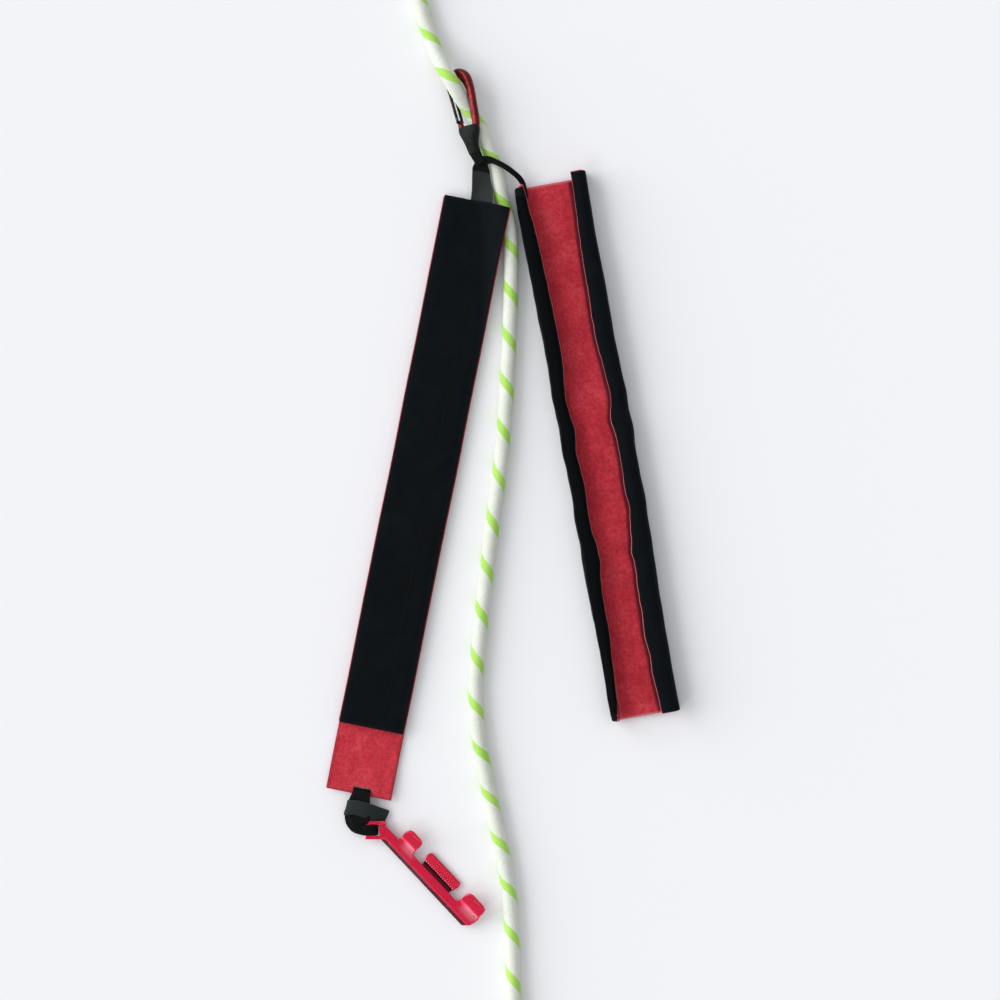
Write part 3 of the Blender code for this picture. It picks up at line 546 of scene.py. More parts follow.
# ---------------------------------------------------------------- materials
class Material:
    """Principled material with short helpers for its nodes."""

    def __init__(self, name, roughness, metallic=0.0, **sockets):
        self.data = bpy.data.materials.new(name)
        self.data.use_nodes = True
        self.nodes = self.data.node_tree.nodes
        self.links = self.data.node_tree.links
        self.shader = self.nodes["Principled BSDF"]
        self.shader.inputs["Roughness"].default_value = roughness
        self.shader.inputs["Metallic"].default_value = metallic
        for socket, value in sockets.items():
            self.shader.inputs[socket.replace("_", " ")].default_value = value

    def node(self, kind, inputs=None, **settings):
        made = self.nodes.new("ShaderNode" + kind)
        for key, value in settings.items():
            setattr(made, key, value)
        for key, value in (inputs or {}).items():
            socket = made.inputs[key]
            if isinstance(value, bpy.types.NodeSocket):
                self.links.new(value, socket)
            else:
                socket.default_value = value
        return made

    def math(self, operation, a, b=0.0):
        return self.node("Math", {0: a, 1: b}, operation=operation).outputs[0]

    def times(self, a, b):
        return self.math("MULTIPLY", a, b)

    def plus(self, a, b):
        return self.math("ADD", a, b)

    def one_less(self, a):
        """One less the value."""
        return self.math("SUBTRACT", 1.0, a)

    def ridges(self, a):
        return self.math("ABSOLUTE", self.math("SINE", a))

    def split_uv(self):
        return self.node("SeparateXYZ", {0: self.uv()}).outputs

    def uv(self, scale=(1.0, 1.0, 1.0), turn=0.0):
        source = self.node("UVMap", uv_map="weave").outputs[0]
        mapped = self.node("Mapping", {"Vector": source, "Scale": scale, "Rotation": (0.0, 0.0, turn)})
        return mapped.outputs[0]

    def spot(self):
        return self.node("TexCoord").outputs["Object"]

    def noise(self, vector, scale, detail, rough=0.55):
        made = self.node("TexNoise", {"Vector": vector, "Scale": scale, "Detail": detail, "Roughness": rough})
        return made.outputs["Fac"]

    def ramp(self, value, stops):
        made = self.node("ValToRGB", {"Fac": value})
        band = made.color_ramp
        while len(band.elements) < len(stops):
            band.elements.new(0.5)
        for element, (place, colour) in zip(band.elements, stops):
            element.position = place
            element.color = (*colour, 1.0)
        return made.outputs["Color"]

    def fade(self, value, start, end, low=0.0, high=1.0):
        """Grey that runs from low at the start to high at the end."""
        return self.ramp(value, [(start, (low, low, low)), (end, (high, high, high))])

    def mix(self, value, a, b):
        made = self.node("Mix", {0: value}, data_type="RGBA")
        for socket, colour in ((6, a), (7, b)):
            if isinstance(colour, bpy.types.NodeSocket):
                self.links.new(colour, made.inputs[socket])
            else:
                made.inputs[socket].default_value = (*colour, 1.0)
        return made.outputs[2]

    def rim(self):
        return self.node("Attribute", attribute_name="rim").outputs["Fac"]

    def colour(self, value):
        self.links.new(value, self.shader.inputs["Base Color"])

    def rough(self, value, low, high):
        made = self.node("MapRange", {"Value": value, "To Min": low, "To Max": high})
        self.links.new(made.outputs[0], self.shader.inputs["Roughness"])

    def bump(self, *layers):
        """Layers of (height, strength, distance in mm), the broadest first."""
        normal = None
        for height, strength, distance in layers:
            inputs = {"Height": height, "Strength": strength, "Distance": distance * MM}
            if normal is not None:
                inputs["Normal"] = normal
            normal = self.node("Bump", inputs).outputs[0]
        self.links.new(normal, self.shader.inputs["Normal"])


def plain_weave(m, pitch_u, pitch_v):
    """Over-and-under thread heights of a plain weave with the given thread pitches in mm."""
    split = m.split_uv()
    warp = m.math("SINE", m.times(split[0], math.pi / pitch_u))
    weft = m.math("SINE", m.times(split[1], math.pi / pitch_v))
    over = m.math("GREATER_THAN", m.times(warp, weft), 0.0)
    one = m.times(m.math("ABSOLUTE", warp), over)
    two = m.times(m.math("ABSOLUTE", weft), m.one_less(over))
    return m.plus(one, two), over


def shell_material():
    """Black coated nylon with a fine plain weave and a faint blue-green cast."""
    m = Material("shell_nylon", 0.8, Specular_IOR_Level=0.07)
    height, over = plain_weave(m, 0.62, 0.5)
    patch = m.noise(m.spot(), 55.0, 5.0, 0.6)
    slub = m.noise(m.uv((0.35, 3.0, 1.0)), 1.0, 3.0)
    cloth_tone = m.ramp(patch, [(0.3, (0.0012, 0.002, 0.0026)), (0.52, (0.0022, 0.0042, 0.0056)),
                                (0.75, (0.0042, 0.0072, 0.0088))])
    thread = m.mix(m.times(over, 0.3), cloth_tone, (0.0055, 0.008, 0.0105))
    streak = m.mix(m.times(slub, 0.4), thread, (0.001, 0.0018, 0.0024))
    m.colour(m.mix(m.times(m.rim(), 0.25), streak, (0.012, 0.014, 0.016)))
    m.rough(patch, 0.62, 0.9)
    m.bump((patch, 0.25, 0.5), (height, 0.6, 0.12), (slub, 0.3, 0.08))
    return m.data


def felt_material():
    """Red pressed felt: matted fibres, mottled, pale where its rim is above 0 and shaded where below."""
    m = Material("red_felt", 0.95, Specular_IOR_Level=0.1, Sheen_Weight=0.15, Sheen_Roughness=0.6)
    m.shader.inputs["Sheen Tint"].default_value = (1.0, 0.45, 0.5, 1.0)
    spot = m.spot()
    patch = m.noise(spot, 70.0, 6.0, 0.62)
    tuft = m.noise(spot, 420.0, 4.0, 0.7)
    fibre_a = m.noise(m.uv((0.5, 4.2, 1.0), 0.5), 1.0, 3.0, 0.6)
    fibre_b = m.noise(m.uv((4.0, 0.55, 1.0), 0.3), 1.0, 3.0, 0.6)
    strand = m.math("MAXIMUM", fibre_a, fibre_b)
    tone = m.ramp(patch, [(0.28, (0.49, 0.023, 0.038)), (0.5, (0.6, 0.037, 0.058)),
                          (0.72, (0.69, 0.066, 0.086))])
    deep = m.mix(m.fade(tuft, 0.36, 0.6, 0.6, 0.0), tone, (0.3, 0.012, 0.022))
    woolly = m.mix(m.fade(strand, 0.58, 0.78, 0.0, 0.5), deep, (0.85, 0.17, 0.19))
    rim = m.rim()
    pale = m.mix(m.math("MAXIMUM", m.times(rim, 0.45), 0.0), woolly, (0.8, 0.34, 0.36))
    m.colour(m.mix(m.math("MAXIMUM", m.times(rim, -1.0), 0.0), pale, (0.06, 0.006, 0.012)))
    m.bump((patch, 0.5, 0.8), (tuft, 0.7, 0.35), (strand, 0.6, 0.2))
    return m.data


def webbing_material(name, dark, pale):
    """Tight nylon webbing: chevron ribs 1.1 mm apart across it and fine cords 0.7 mm apart along it, the
    raised threads painted paler and the hollows darker as painted highlight and shade.
    """
    m = Material(name, 0.65, Specular_IOR_Level=0.1)
    split = m.split_uv()
    slant = m.plus(split[1], m.times(m.math("PINGPONG", split[0], 2.1), 0.7))
    ribs = m.ridges(m.times(slant, math.pi / 1.1))
    cords = m.ridges(m.times(split[0], math.pi / 0.7))
    height = m.times(ribs, m.plus(m.times(cords, 0.5), 0.5))
    patch = m.noise(m.spot(), 160.0, 4.0)
    # Painted highlight and shade: the colour follows the weave's height, pale on raised ribs and cords, dark
    # in the hollows.
    tone = m.mix(height, dark, pale)
    dusty = m.mix(m.times(patch, 0.35), tone, dark)
    m.colour(m.mix(m.times(m.rim(), 0.3), dusty, pale))
    m.rough(height, 0.75, 0.5)
    m.bump((patch, 0.2, 0.4), (height, 0.8, 0.25))
    return m.data


def tape_material(name, hooks):
    """Black hook or loop tape: rows of small hooks, or a mat of curled loops."""
    m = Material(name, 0.9, Specular_IOR_Level=0.05)
    if hooks:
        cells = m.node("TexVoronoi", {"Vector": m.uv((1.0, 1.25, 1.0)), "Scale": 0.9,
                                      "Randomness": 0.25}).outputs[0]
        tone = m.ramp(cells, [(0.1, (0.03, 0.031, 0.033)), (0.5, (0.006, 0.006, 0.007))])
        m.bump((m.one_less(cells), 1.0, 0.5))
    else:
        curl = m.noise(m.uv((1.1, 1.1, 1.0)), 2.2, 5.0, 0.75)
        tone = m.ramp(curl, [(0.35, (0.0008, 0.0012, 0.0014)), (0.7, (0.004, 0.0052, 0.006))])
        m.bump((curl, 1.0, 0.5))
    m.colour(tone)
    return m.data


def thread_material(name, colour):
    """Twisted sewing thread, painted darker where its plies meet as painted shade."""
    m = Material(name, 0.6, Specular_IOR_Level=0.15)
    split = m.split_uv()
    twist = m.math("SINE", m.plus(m.times(split[1], 9.0), m.times(split[0], 1.05)))
    m.colour(m.mix(m.math("ABSOLUTE", twist), [c * 0.55 for c in colour], colour))
    m.bump((twist, 0.5, 0.05))
    return m.data


def anodised_material(name, tone, deep, roughness):
    """Anodised aluminium: fine blasted grain, faint handling scratches, corners rubbed pale, and a pale pink
    painted highlight where its rim value is above 0.
    """
    m = Material(name, roughness, 0.85, Coat_Weight=0.25, Coat_Roughness=0.25)
    spot = m.spot()
    grain = m.noise(spot, 2600.0, 3.0, 0.6)
    cloud = m.fade(m.noise(spot, 420.0, 5.0, 0.7), 0.36, 0.64)
    scratch = m.noise(m.node("Mapping", {"Vector": spot, "Scale": (2400.0, 120.0, 500.0),
                                         "Rotation": (0.2, 0.1, 0.7)}).outputs[0], 1.0, 2.0)
    lines = m.fade(scratch, 0.66, 0.72)
    edge = m.fade(m.node("NewGeometry").outputs["Pointiness"], 0.53, 0.6)
    base = m.mix(cloud, deep, tone)
    scuffed = m.mix(m.times(lines, 0.25), base, [min(1.0, c * 1.5 + 0.05) for c in tone])
    bright = m.mix(m.times(edge, 0.25), scuffed, [min(1.0, c + 0.2) for c in tone])
    # Painted highlight: paler pink where the rim value is above 0, along the clip's tab bends.
    m.colour(m.mix(m.times(m.rim(), 0.7), bright, (0.95, 0.34, 0.42)))
    m.rough(grain, roughness - 0.06, roughness + 0.1)
    m.bump((cloud, 0.1, 0.3), (grain, 0.25, 0.03), (lines, 0.3, 0.03))
    return m.data


def steel_material():
    """Dark stainless wire with drawing lines and handling marks."""
    m = Material("gate_steel", 0.35, 1.0)
    spot = m.spot()
    cloud = m.noise(spot, 500.0, 5.0, 0.65)
    grain = m.noise(m.uv((6.0, 0.4, 1.0)), 1.0, 3.0)
    m.colour(m.ramp(cloud, [(0.35, (0.008, 0.007, 0.007)), (0.55, (0.03, 0.027, 0.026)),
                            (0.76, (0.2, 0.19, 0.18))]))
    m.rough(cloud, 0.28, 0.5)
    m.bump((grain, 0.3, 0.05), (cloud, 0.3, 0.06))
    return m.data


def rubber_material():
    """Moulded black rubber with a fine matt skin."""
    m = Material("keeper_rubber", 0.5, Specular_IOR_Level=0.13)
    grain = m.noise(m.spot(), 1800.0, 3.0, 0.6)
    cloud = m.noise(m.spot(), 220.0, 4.0, 0.6)
    m.colour(m.ramp(cloud, [(0.35, (0.003, 0.004, 0.004)), (0.7, (0.009, 0.012, 0.011))]))
    m.rough(cloud, 0.42, 0.62)
    m.bump((cloud, 0.2, 0.3), (grain, 0.35, 0.05))
    return m.data


def shrink_material():
    """Milky heat-shrink sleeving, a little clouded and wrinkled round the rope's end."""
    m = Material("heat_shrink", 0.35, Specular_IOR_Level=0.5, Coat_Weight=0.3)
    cloud = m.noise(m.spot(), 300.0, 4.0, 0.6)
    rings = m.node("TexWave", {"Vector": m.uv(), "Scale": 0.35, "Distortion": 2.5, "Detail": 2.0,
                               "Detail Scale": 2.0}, bands_direction="Y").outputs["Fac"]
    m.colour(m.ramp(cloud, [(0.3, (0.5, 0.53, 0.48)), (0.7, (0.72, 0.74, 0.68))]))
    m.rough(cloud, 0.28, 0.48)
    m.bump((rings, 0.4, 0.2), (cloud, 0.3, 0.15))
    return m.data


def rope_material():
    """White braided sheath: crossing flat carriers of fine yarns, with a lime tracer along one lay, and
    painted shade in the grooves between carriers and between yarns.
    """
    m = Material("rope_sheath", 0.7, Specular_IOR_Level=0.25, Sheen_Weight=0.25, Sheen_Roughness=0.4)
    split = m.split_uv()
    right = m.times(m.plus(split[0], split[1]), CARRIERS)
    left = m.times(m.math("SUBTRACT", split[0], split[1]), CARRIERS)
    strand_r = m.math("FLOOR", right)
    strand_l = m.math("FLOOR", left)
    lane = m.math("FLOORED_MODULO", strand_r, float(CARRIERS))
    tracer = m.math("LESS_THAN", lane, 2.5)
    order = m.math("FLOORED_MODULO", m.plus(strand_r, strand_l), 4.0)
    over = m.math("LESS_THAN", order, m.plus(1.5, m.times(tracer, 2.0)))
    across_r = m.math("SUBTRACT", m.math("FRACT", right), 0.5)
    across_l = m.math("SUBTRACT", m.math("FRACT", left), 0.5)
    across = m.plus(m.times(across_r, over), m.times(across_l, m.one_less(over)))
    yarns = m.ridges(m.times(across, 4.0 * math.pi))
    edge = m.times(m.times(across, across), 4.0)
    fuzz = m.noise(m.spot(), 1500.0, 3.0, 0.65)
    soil = m.noise(m.spot(), 60.0, 4.0, 0.6)
    white = m.ramp(soil, [(0.3, (0.71, 0.75, 0.65)), (0.7, (0.8, 0.83, 0.75))])
    lime = m.ramp(soil, [(0.3, (0.34, 0.7, 0.05)), (0.7, (0.46, 0.8, 0.12))])
    tone = m.mix(m.times(tracer, over), white, lime)
    # Painted shade: greenish grey along each carrier's edges and a little darker between yarns, where the
    # braid's grooves lie.
    groove = m.mix(m.times(edge, 0.3), tone, (0.42, 0.46, 0.36))
    m.colour(m.mix(m.times(m.one_less(yarns), 0.1), groove, (0.5, 0.53, 0.44)))
    m.bump((yarns, 0.5, 0.12), (fuzz, 0.35, 0.08))
    return m.data


def floor_material():
    """Plain pale studio paper with a barely visible tooth."""
    m = Material("studio_paper", 0.9, Specular_IOR_Level=0.1)
    tooth = m.noise(m.spot(), 900.0, 3.0)
    m.colour(m.ramp(tooth, [(0.3, (0.885, 0.89, 0.905)), (0.7, (0.9, 0.905, 0.92))]))
    m.bump((tooth, 0.05, 0.1))
    return m.data


def make_materials():
    return {
        "shell": shell_material(),
        "felt": felt_material(),
        "webbing": webbing_material("black_webbing", (0.0012, 0.0014, 0.0016), (0.006, 0.0066, 0.0074)),
        "grey_webbing": webbing_material("grey_webbing", (0.005, 0.0068, 0.0068), (0.042, 0.052, 0.05)),
        "hook": tape_material("hook_tape", True),
        "loop": tape_material("loop_tape", False),
        "thread": thread_material("black_thread", (0.007, 0.009, 0.011)),
        "red_thread": thread_material("red_thread", (0.42, 0.02, 0.035)),
        "clip": anodised_material("clip_anodised", (0.82, 0.01, 0.066), (0.66, 0.006, 0.041), 0.27),
        # Pale copy of the clip's metal: painted highlight for the jaw's first row of teeth.
        "clip_glint": anodised_material("clip_anodised_glint", (0.95, 0.62, 0.66), (0.9, 0.2, 0.28), 0.35),
        # Dark copy of the clip's metal: painted shade for the bar's lower edge and the web.
        "clip_painted_shade": anodised_material("clip_anodised_painted_shade", (0.12, 0.003, 0.014), (0.05, 0.002, 0.008), 0.4),
        # The carabiner's cloud runs from near black to red: a painted reflection, standing in for the mottled
        # reflections along its spine.
        "red_metal": anodised_material("red_anodised", (0.25, 0.005, 0.007), (0.008, 0.001, 0.001), 0.27),
        "steel": steel_material(),
        "rubber": rubber_material(),
        "shrink": shrink_material(),
        "rope": rope_material(),
    }


def hand_over(piece, body, slot, *nodes):
    """The piece rides on a body and stands for CAD nodes, which it hides; the slot is not used."""
    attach(piece, body)
    if nodes:
        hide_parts(*nodes)
    return piece


def layer(name, grid, thick, material, body, slot, node, flat=None, **shape):
    """Sheet that rides on a body and stands for a CAD node; the flat size is not used."""
    piece = hand_over(cloth(name, grid, thick, material, **shape), body, slot, node)


# ---------------------------------------------------------------- rope
def braid_height(u, v):
    """Height of the braid at a share of the turn round the rope and a share of a lay along it, 0 to 1."""
    right = (u + v) * CARRIERS
    left = (u - v) * CARRIERS
    strand_r = np.floor(right)
    strand_l = np.floor(left)
    tracer = np.mod(strand_r, CARRIERS) < 2.5
    over = np.mod(strand_r + strand_l, 4.0) < np.where(tracer, 3.5, 1.5)
    across = np.where(over, right - strand_r, left - strand_l) - 0.5
    return np.cos(math.pi * across) ** 0.6


def build_rope(materials):
    centres = spline_points(np.array(ROPE_ROUTE) + SHIFT, 0.62)
    flow = directions(centres)
    side = unit(np.cross(flow, UP))
    up = np.cross(side, flow)
    sides = 60
    share = np.arange(sides) / sides
    turn = 2.0 * math.pi * share
    places = run_lengths(centres)
    lays = places / ROPE_LAY + 0.52
    radius = ROPE_RADIUS - 0.32 + 0.38 * braid_height(share[None, :], lays[:, None])
    rings = round_rings(centres, radius, up, side, turn)
    rope = sweep("rope_sheath", rings, np.arange(sides + 1) / sides, lays, materials["rope"])
    caps = [rope_cap("rope_cap_upper", centres[0], -flow[0], side[0], up[0], materials["shrink"]),
            rope_cap("rope_cap_lower", centres[-1], flow[-1], side[-1], up[-1], materials["shrink"])]
    hand_over(rope, "rope_and_lanyard", "rope", "rope")


def rope_cap(name, end, axis, side, up, material):
    """Heat-shrink cap: (place along the axis, radius) down its outside and back inside to the rope's end."""
    profile = [(2.2, 0.02), (2.2, CAP_RADIUS - 1.2), (1.9, CAP_RADIUS - 0.5), (1.2, CAP_RADIUS - 0.05),
               (-2.0, CAP_RADIUS - 0.1), (-5.0, CAP_RADIUS), (-8.0, CAP_RADIUS - 0.15),
               (0.8 - CAP_LENGTH, CAP_RADIUS), (-CAP_LENGTH, CAP_RADIUS - 0.2),
               (-CAP_LENGTH, ROPE_RADIUS + 0.15), (2.0 - CAP_LENGTH, ROPE_RADIUS + 0.1),
               (0.3, ROPE_RADIUS - 0.4), (0.4, 0.02)]
    turn = np.linspace(0.0, 2.0 * math.pi, 36, endpoint=False)[:, None]
    stack = [end + axis * along + size * (np.cos(turn) * side + np.sin(turn) * up) for along, size in profile]
    around = np.linspace(0.0, 39.0, 37)
    cap = sweep(name + "_sleeve", stack, around, [p[0] for p in profile], material, sharp=50)
    return hand_over(cap, "rope_and_lanyard", "rope_cap", name)


# ---------------------------------------------------------------- carabiner and lanyard
def biner_point(across, along):
    """Point of the carabiner's tilted plane, from its foot."""
    height = BINER_MID_Z - BINER_PITCH * (along - 28.0)
    foot = np.array([BINER_FOOT[0], BINER_FOOT[1], height]) + SHIFT
    return foot + BINER_ALONG * along + BINER_ACROSS * across


def build_carabiner(materials):
    normal = BINER_NORMAL
    path = spline_points(BINER_BODY, 1.1)
    centres = [biner_point(p[0], p[1]) for p in path]
    body = tube("carabiner_forging", centres, path[:, 2] * 1.08, normal, materials["red_metal"], 24, 0.16)
    hand_over(body, "rope_and_lanyard", "red_anodised", "carabiner_body")
    foot = biner_point(*GATE_FOOT)
    nose = biner_point(*GATE_NOSE)
    inner = biner_point(GATE_NOSE[0] + 3.4, GATE_NOSE[1] + 1.0) - nose
    flow = nose - foot
    shares = np.linspace(0.02, 0.96, 7)
    route = [foot + flow * share + normal * GATE_SPREAD for share in shares]
    for angle in np.radians((50.0, 20.0, 0.0, -20.0, -50.0)):
        route.append(nose + inner * math.cos(angle) + normal * math.sin(angle) * GATE_SPREAD * 1.1)
    route += [foot + flow * share - normal * GATE_SPREAD for share in shares[::-1]]
    points = spline_points(route, 0.8)
    plane = np.cross(normal, unit(flow))
    wire = tube("carabiner_gate_wire", points, np.full(len(points), GATE_WIRE), plane, materials["steel"], 14)
    hand_over(wire, "carabiner_gate", "gate_wire", "carabiner_wire_gate")
    pin_at = biner_point(*GATE_PIN)
    spine = [pin_at + normal * reach for reach in np.linspace(-3.4, 3.4, 9)]
    size = [0.9, 1.35, 1.2, 1.0, 1.0, 1.0, 1.2, 1.35, 0.9]
    pin = tube("carabiner_gate_pin", spine, size, unit(flow), materials["steel"], 16)
    hand_over(pin, "rope_and_lanyard", "gate_wire")


def lanyard_route():
    """Folded strap: out from the split underneath, round the foot of the carabiner and back on top."""
    foot = biner_point(0.0, 0.0)
    base = SPLIT + np.array([-0.4, -2.2, 12.3])
    reach = foot - BINER_ALONG * 6.0 - base
    low_flow = np.array([-0.42, 0.91, 0.0])
    low_half = 2.3
    middle_half = 0.5 * WEB + 0.5
    loop_half = 0.5 * WEB + 2.6

    def run(t, sign):
        p = base + reach * t + np.array([-1.2, 0.0, 0.0]) * math.sin(math.pi * t)
        side = unit(BINER_FLAT * (1.0 - smooth(t)) + BINER_ACROSS * smooth(t))
        up = unit(np.cross(side, low_flow * (1.0 - t) + BINER_ALONG * t))
        half = low_half + (middle_half - low_half) * smooth(t * 2.4 - 0.75)
        half = half + (loop_half - half) * smooth((t - 0.62) / 0.38)
        return p + up * half * sign, side

    runs = [run(k / 7.0, -1.0) for k in range(7)]
    up = np.cross(BINER_ACROSS, BINER_ALONG)
    for angle in np.radians(np.linspace(-115.0, 115.0, 9)):
        runs.append((foot + (BINER_ALONG * math.cos(angle) + up * math.sin(angle)) * loop_half, BINER_ACROSS))
    runs += [run(k / 7.0, 1.0) for k in reversed(range(7))]
    return [r[0] for r in runs], [r[1] for r in runs]


def refine(centres, sides, widths, step):
    """The same strap at finer even steps."""
    knots = with_ends(np.hstack([np.array(centres), np.array(sides), np.array(widths)[:, None]]))
    rough = run_lengths(np.array(centres))
    fine = []
    for place in np.linspace(0.0, rough[-1], int(round(rough[-1] / step)) + 1):
        i = int(np.clip(np.searchsorted(rough, place) - 1, 0, len(rough) - 2))
        fine.append(catmull(*knots[i:i + 4], (place - rough[i]) / (rough[i + 1] - rough[i])))
    fine = np.array(fine)
    return fine[:, :3], fine[:, 3:6], fine[:, 6]


def build_lanyard(materials):
    centres, sides = lanyard_route()
    last = len(centres) - 1
    widths = [7.8 if min(i, last - i) < 7 else 9.4 for i in range(last + 1)]
    body = strap("lanyard_strap", *refine(centres, sides, widths, 0.7), WEB, materials["webbing"])
    hand_over(body, "rope_and_lanyard", "webbing", "lanyard_webbing")
    foot = biner_point(0.0, 0.0)
    middle = [foot + BINER_ALONG * KEEPER_TOP, foot, foot - BINER_ALONG * 6.0]
    middle += [0.5 * (centres[k] + centres[last - k]) for k in (6, 5, 4, 3)]
    spread = [BINER_ACROSS] * 3 + [sides[k] for k in (6, 5, 4, 3)]
    axis = spline_points(np.hstack([middle, spread]), 0.6)
    band = keeper_boot(axis[:, :3], axis[:, 3:], materials["rubber"])
    hand_over(band, "rope_and_lanyard", "keeper_rubber", "carabiner_keeper")


def keeper_boot(centres, sides, material):
    """Tapered rubber boot: wide over the foot of the carabiner, narrow where it grips the strap."""
    shape = spline_points(KEEPER, 0.4)
    places = run_lengths(centres)
    keep = places <= KEEPER[-1][0]
    centres, sides, places = centres[keep], sides[keep], places[keep]
    flow = directions(centres)
    side = unit(sides - flow * np.sum(sides * flow, axis=1, keepdims=True))
    up = np.cross(flow, side)
    up = up * np.sign(up[0, 2])
    centres = centres + up * KEEPER_RISE
    turn = np.linspace(0.0, 2.0 * math.pi, 48, endpoint=False)
    x, z = (np.sign(wave)[None, :, None] * np.abs(wave)[None, :, None] ** 0.72
            for wave in (np.cos(turn), np.sin(turn)))
    wide, high = (np.interp(places, shape[:, 0], shape[:, k])[:, None, None] for k in (1, 2))

    def skin(inset):
        across = side[:, None, :] * x * (wide - inset)
        return centres[:, None, :] + across + up[:, None, :] * z * (high - inset)

    rings = np.concatenate([skin(0.0), skin(KEEPER_WALL)[::-1]])
    lengths = np.concatenate([places, places[::-1], places[:1]])
    return sweep("keeper_band", rings, np.linspace(0.0, 40.0, 49), lengths, material, True, 50)


# ---------------------------------------------------------------- left sleeve
def lift(x, y):
    """Height of the sleeve's underside: its upper right corner climbs over the rope."""
    rope_side = 19.0 + 24.0 * (np.maximum(0.0, -y) / 97.0) ** 0.62
    corner = LIFT_HEIGHT * smooth((x - rope_side + LIFT_WIDTH) / LIFT_WIDTH)
    return corner + TAB_RAISE * smooth((-y - 424.0) / 20.0)


def left_place(x, y, z):
    """World points of the left sleeve: pressed together at its long edges, swelling a little between."""
    edge = smooth((np.abs(x) - 15.0) / 10.0)
    swell = 1.0 - 0.09 * edge + 0.05 * ripple(x, y, 11, 60.0) + 0.02 * ripple(x, y, 5, 14.0)
    held = smooth((-y - 405.0) / 10.0)
    swell = swell + (1.0 - swell) * held
    wander = 0.25 * ripple(0.0 * x, y, 3, 90.0)
    corner = 1.1 * smooth((x - 5.0) / 18.0) * smooth((y + 42.0) / 42.0)
    return LEFT.world(np.stack([x + wander + corner, y - corner, z * swell + lift(x, y)], axis=-1))


def left_grid(x0, x1, y0, y1, z):
    """Grid of world points over a rectangle of the sleeve, every 2 mm across and every 2.4 mm along."""
    xs = np.linspace(x0, x1, int(round((x1 - x0) / 2.0)) + 1)
    ys = np.linspace(y0, y1, int(round((y0 - y1) / 2.4)) + 1)
    x, y = np.meshgrid(xs, ys)
    return left_place(x, y, np.full_like(x, z))


def left_row(x0, y0, x1, y1, z):
    """Stitch spots along a straight line on the sleeve at the given layer height."""
    x = np.linspace(x0, x1, 90)
    y = np.linspace(y0, y1, 90)
    z = np.full(90, z)
    right = left_place(x + 0.5, y, z) - left_place(x - 0.5, y, z)
    down = left_place(x, y - 0.5, z) - left_place(x, y + 0.5, z)
    return stitch_row(left_place(x, y, z), unit(np.cross(down, right)))


def seam(name, spots, material, body):
    """Rows of plain stitching on a body, which the CAD leaves out."""
    hand_over(stitches(name, spots, STITCH_LENGTH, STITCH_RADIUS, material), body, "stitching")


def build_left_sleeve(materials):
    half = LEFT_HALF
    end = -LEFT_LENGTH
    base, flap = "left_sleeve", "left_flap"
    shell, felt, thread = materials["shell"], materials["felt"], materials["thread"]
    layer("left_base_cloth", left_grid(-half + 0.3, half - 0.5, 0.0, end, BASE_Z), SHELL_THICK, shell,
          base, "shell_fabric", "left_base_shell", (0.0488, 0.402))
    left_lining(felt)
    layer("left_hook_tape", left_grid(*TAPE_X, -19.0, end + 4.0, HOOK_Z), 0.72, materials["hook"],
          base, "hook_tape", "left_hook_strip")
    layer("left_flap_cloth", left_grid(-half + 0.2, 24.0, 0.0, end, FLAP_Z), SHELL_THICK - 0.05, shell,
          flap, "shell_fabric", "left_flap_shell", (0.048, 0.402))
    layer("left_flap_felt", left_grid(-half + 0.9, 6.6, -18.5, end + 1.0, FLAP_FELT_Z), 1.6, felt,
          flap, "felt_lining", "left_flap_lining", (0.0305, 0.3825))
    layer("left_loop_tape", left_grid(*TAPE_X, -19.0, end + 4.0, LOOP_Z), 0.72, materials["loop"],
          flap, "loop_tape", "left_loop_strip")
    left_spine(felt)
    spots = []
    for x, inset in ((-22.2, 1.8), (21.6, 1.8), (7.2, 2.4)):
        spots += left_row(x, -inset, x, end + inset, FLAP_TOP)
    for y in (-2.0, end + 2.0):
        spots += left_row(-21.4, y, 20.4, y, FLAP_TOP)
    seam("left_flap_stitching", spots, thread, flap)
    spots = []
    for x in (9.0, 20.5):
        spots += left_row(x, -20.0, x, end + 5.0, 4.5)
    for x in (-22.6, 22.6):
        spots += left_row(x, end - 3.0, x, -TAB_END + 3.0, 3.38)
    seam("left_base_stitching", spots, materials["red_thread"], base)


def left_lining(felt):
    """Felt of the base, longer than its shell: the rest of it is the tab, with the slot for the webbing."""
    xs = np.concatenate([np.linspace(-LEFT_HALF, SLOT_X[0], 11), np.linspace(*SLOT_X, 10)[1:],
                         np.linspace(SLOT_X[1], LEFT_HALF, 9)[1:]])
    ys = np.concatenate([np.linspace(0.0, SLOT_Y[1], ROWS),
                         [-447.5, -448.1, -448.7, SLOT_Y[0], -451.0, -TAB_END]])
    x, y = np.meshgrid(xs, ys)
    grid = left_place(x, y, np.full_like(x, LINING_Z))
    grid[..., 2] += 0.12 * ripple(x, y, 21, 9.0) * smooth((-y - 404.0) / 6.0)
    hole = (ROWS - 1, ROWS + 3, 10, 19)
    # Painted shade: the felt is darkened along its long edges above the tab, where they show under the shell,
    # and a little round its whole border.
    shade = np.where(y < -TAB_END + 60.0, 0.0, -0.5) * (np.abs(x) > LEFT_HALF - 0.1)
    layer("left_base_felt", grid, FELT_THICK, felt, "left_sleeve", "felt_lining", "left_base_lining",
          (0.0496, 0.4526), radius=0.6, hole=hole, wear=shade, edge=-0.42)


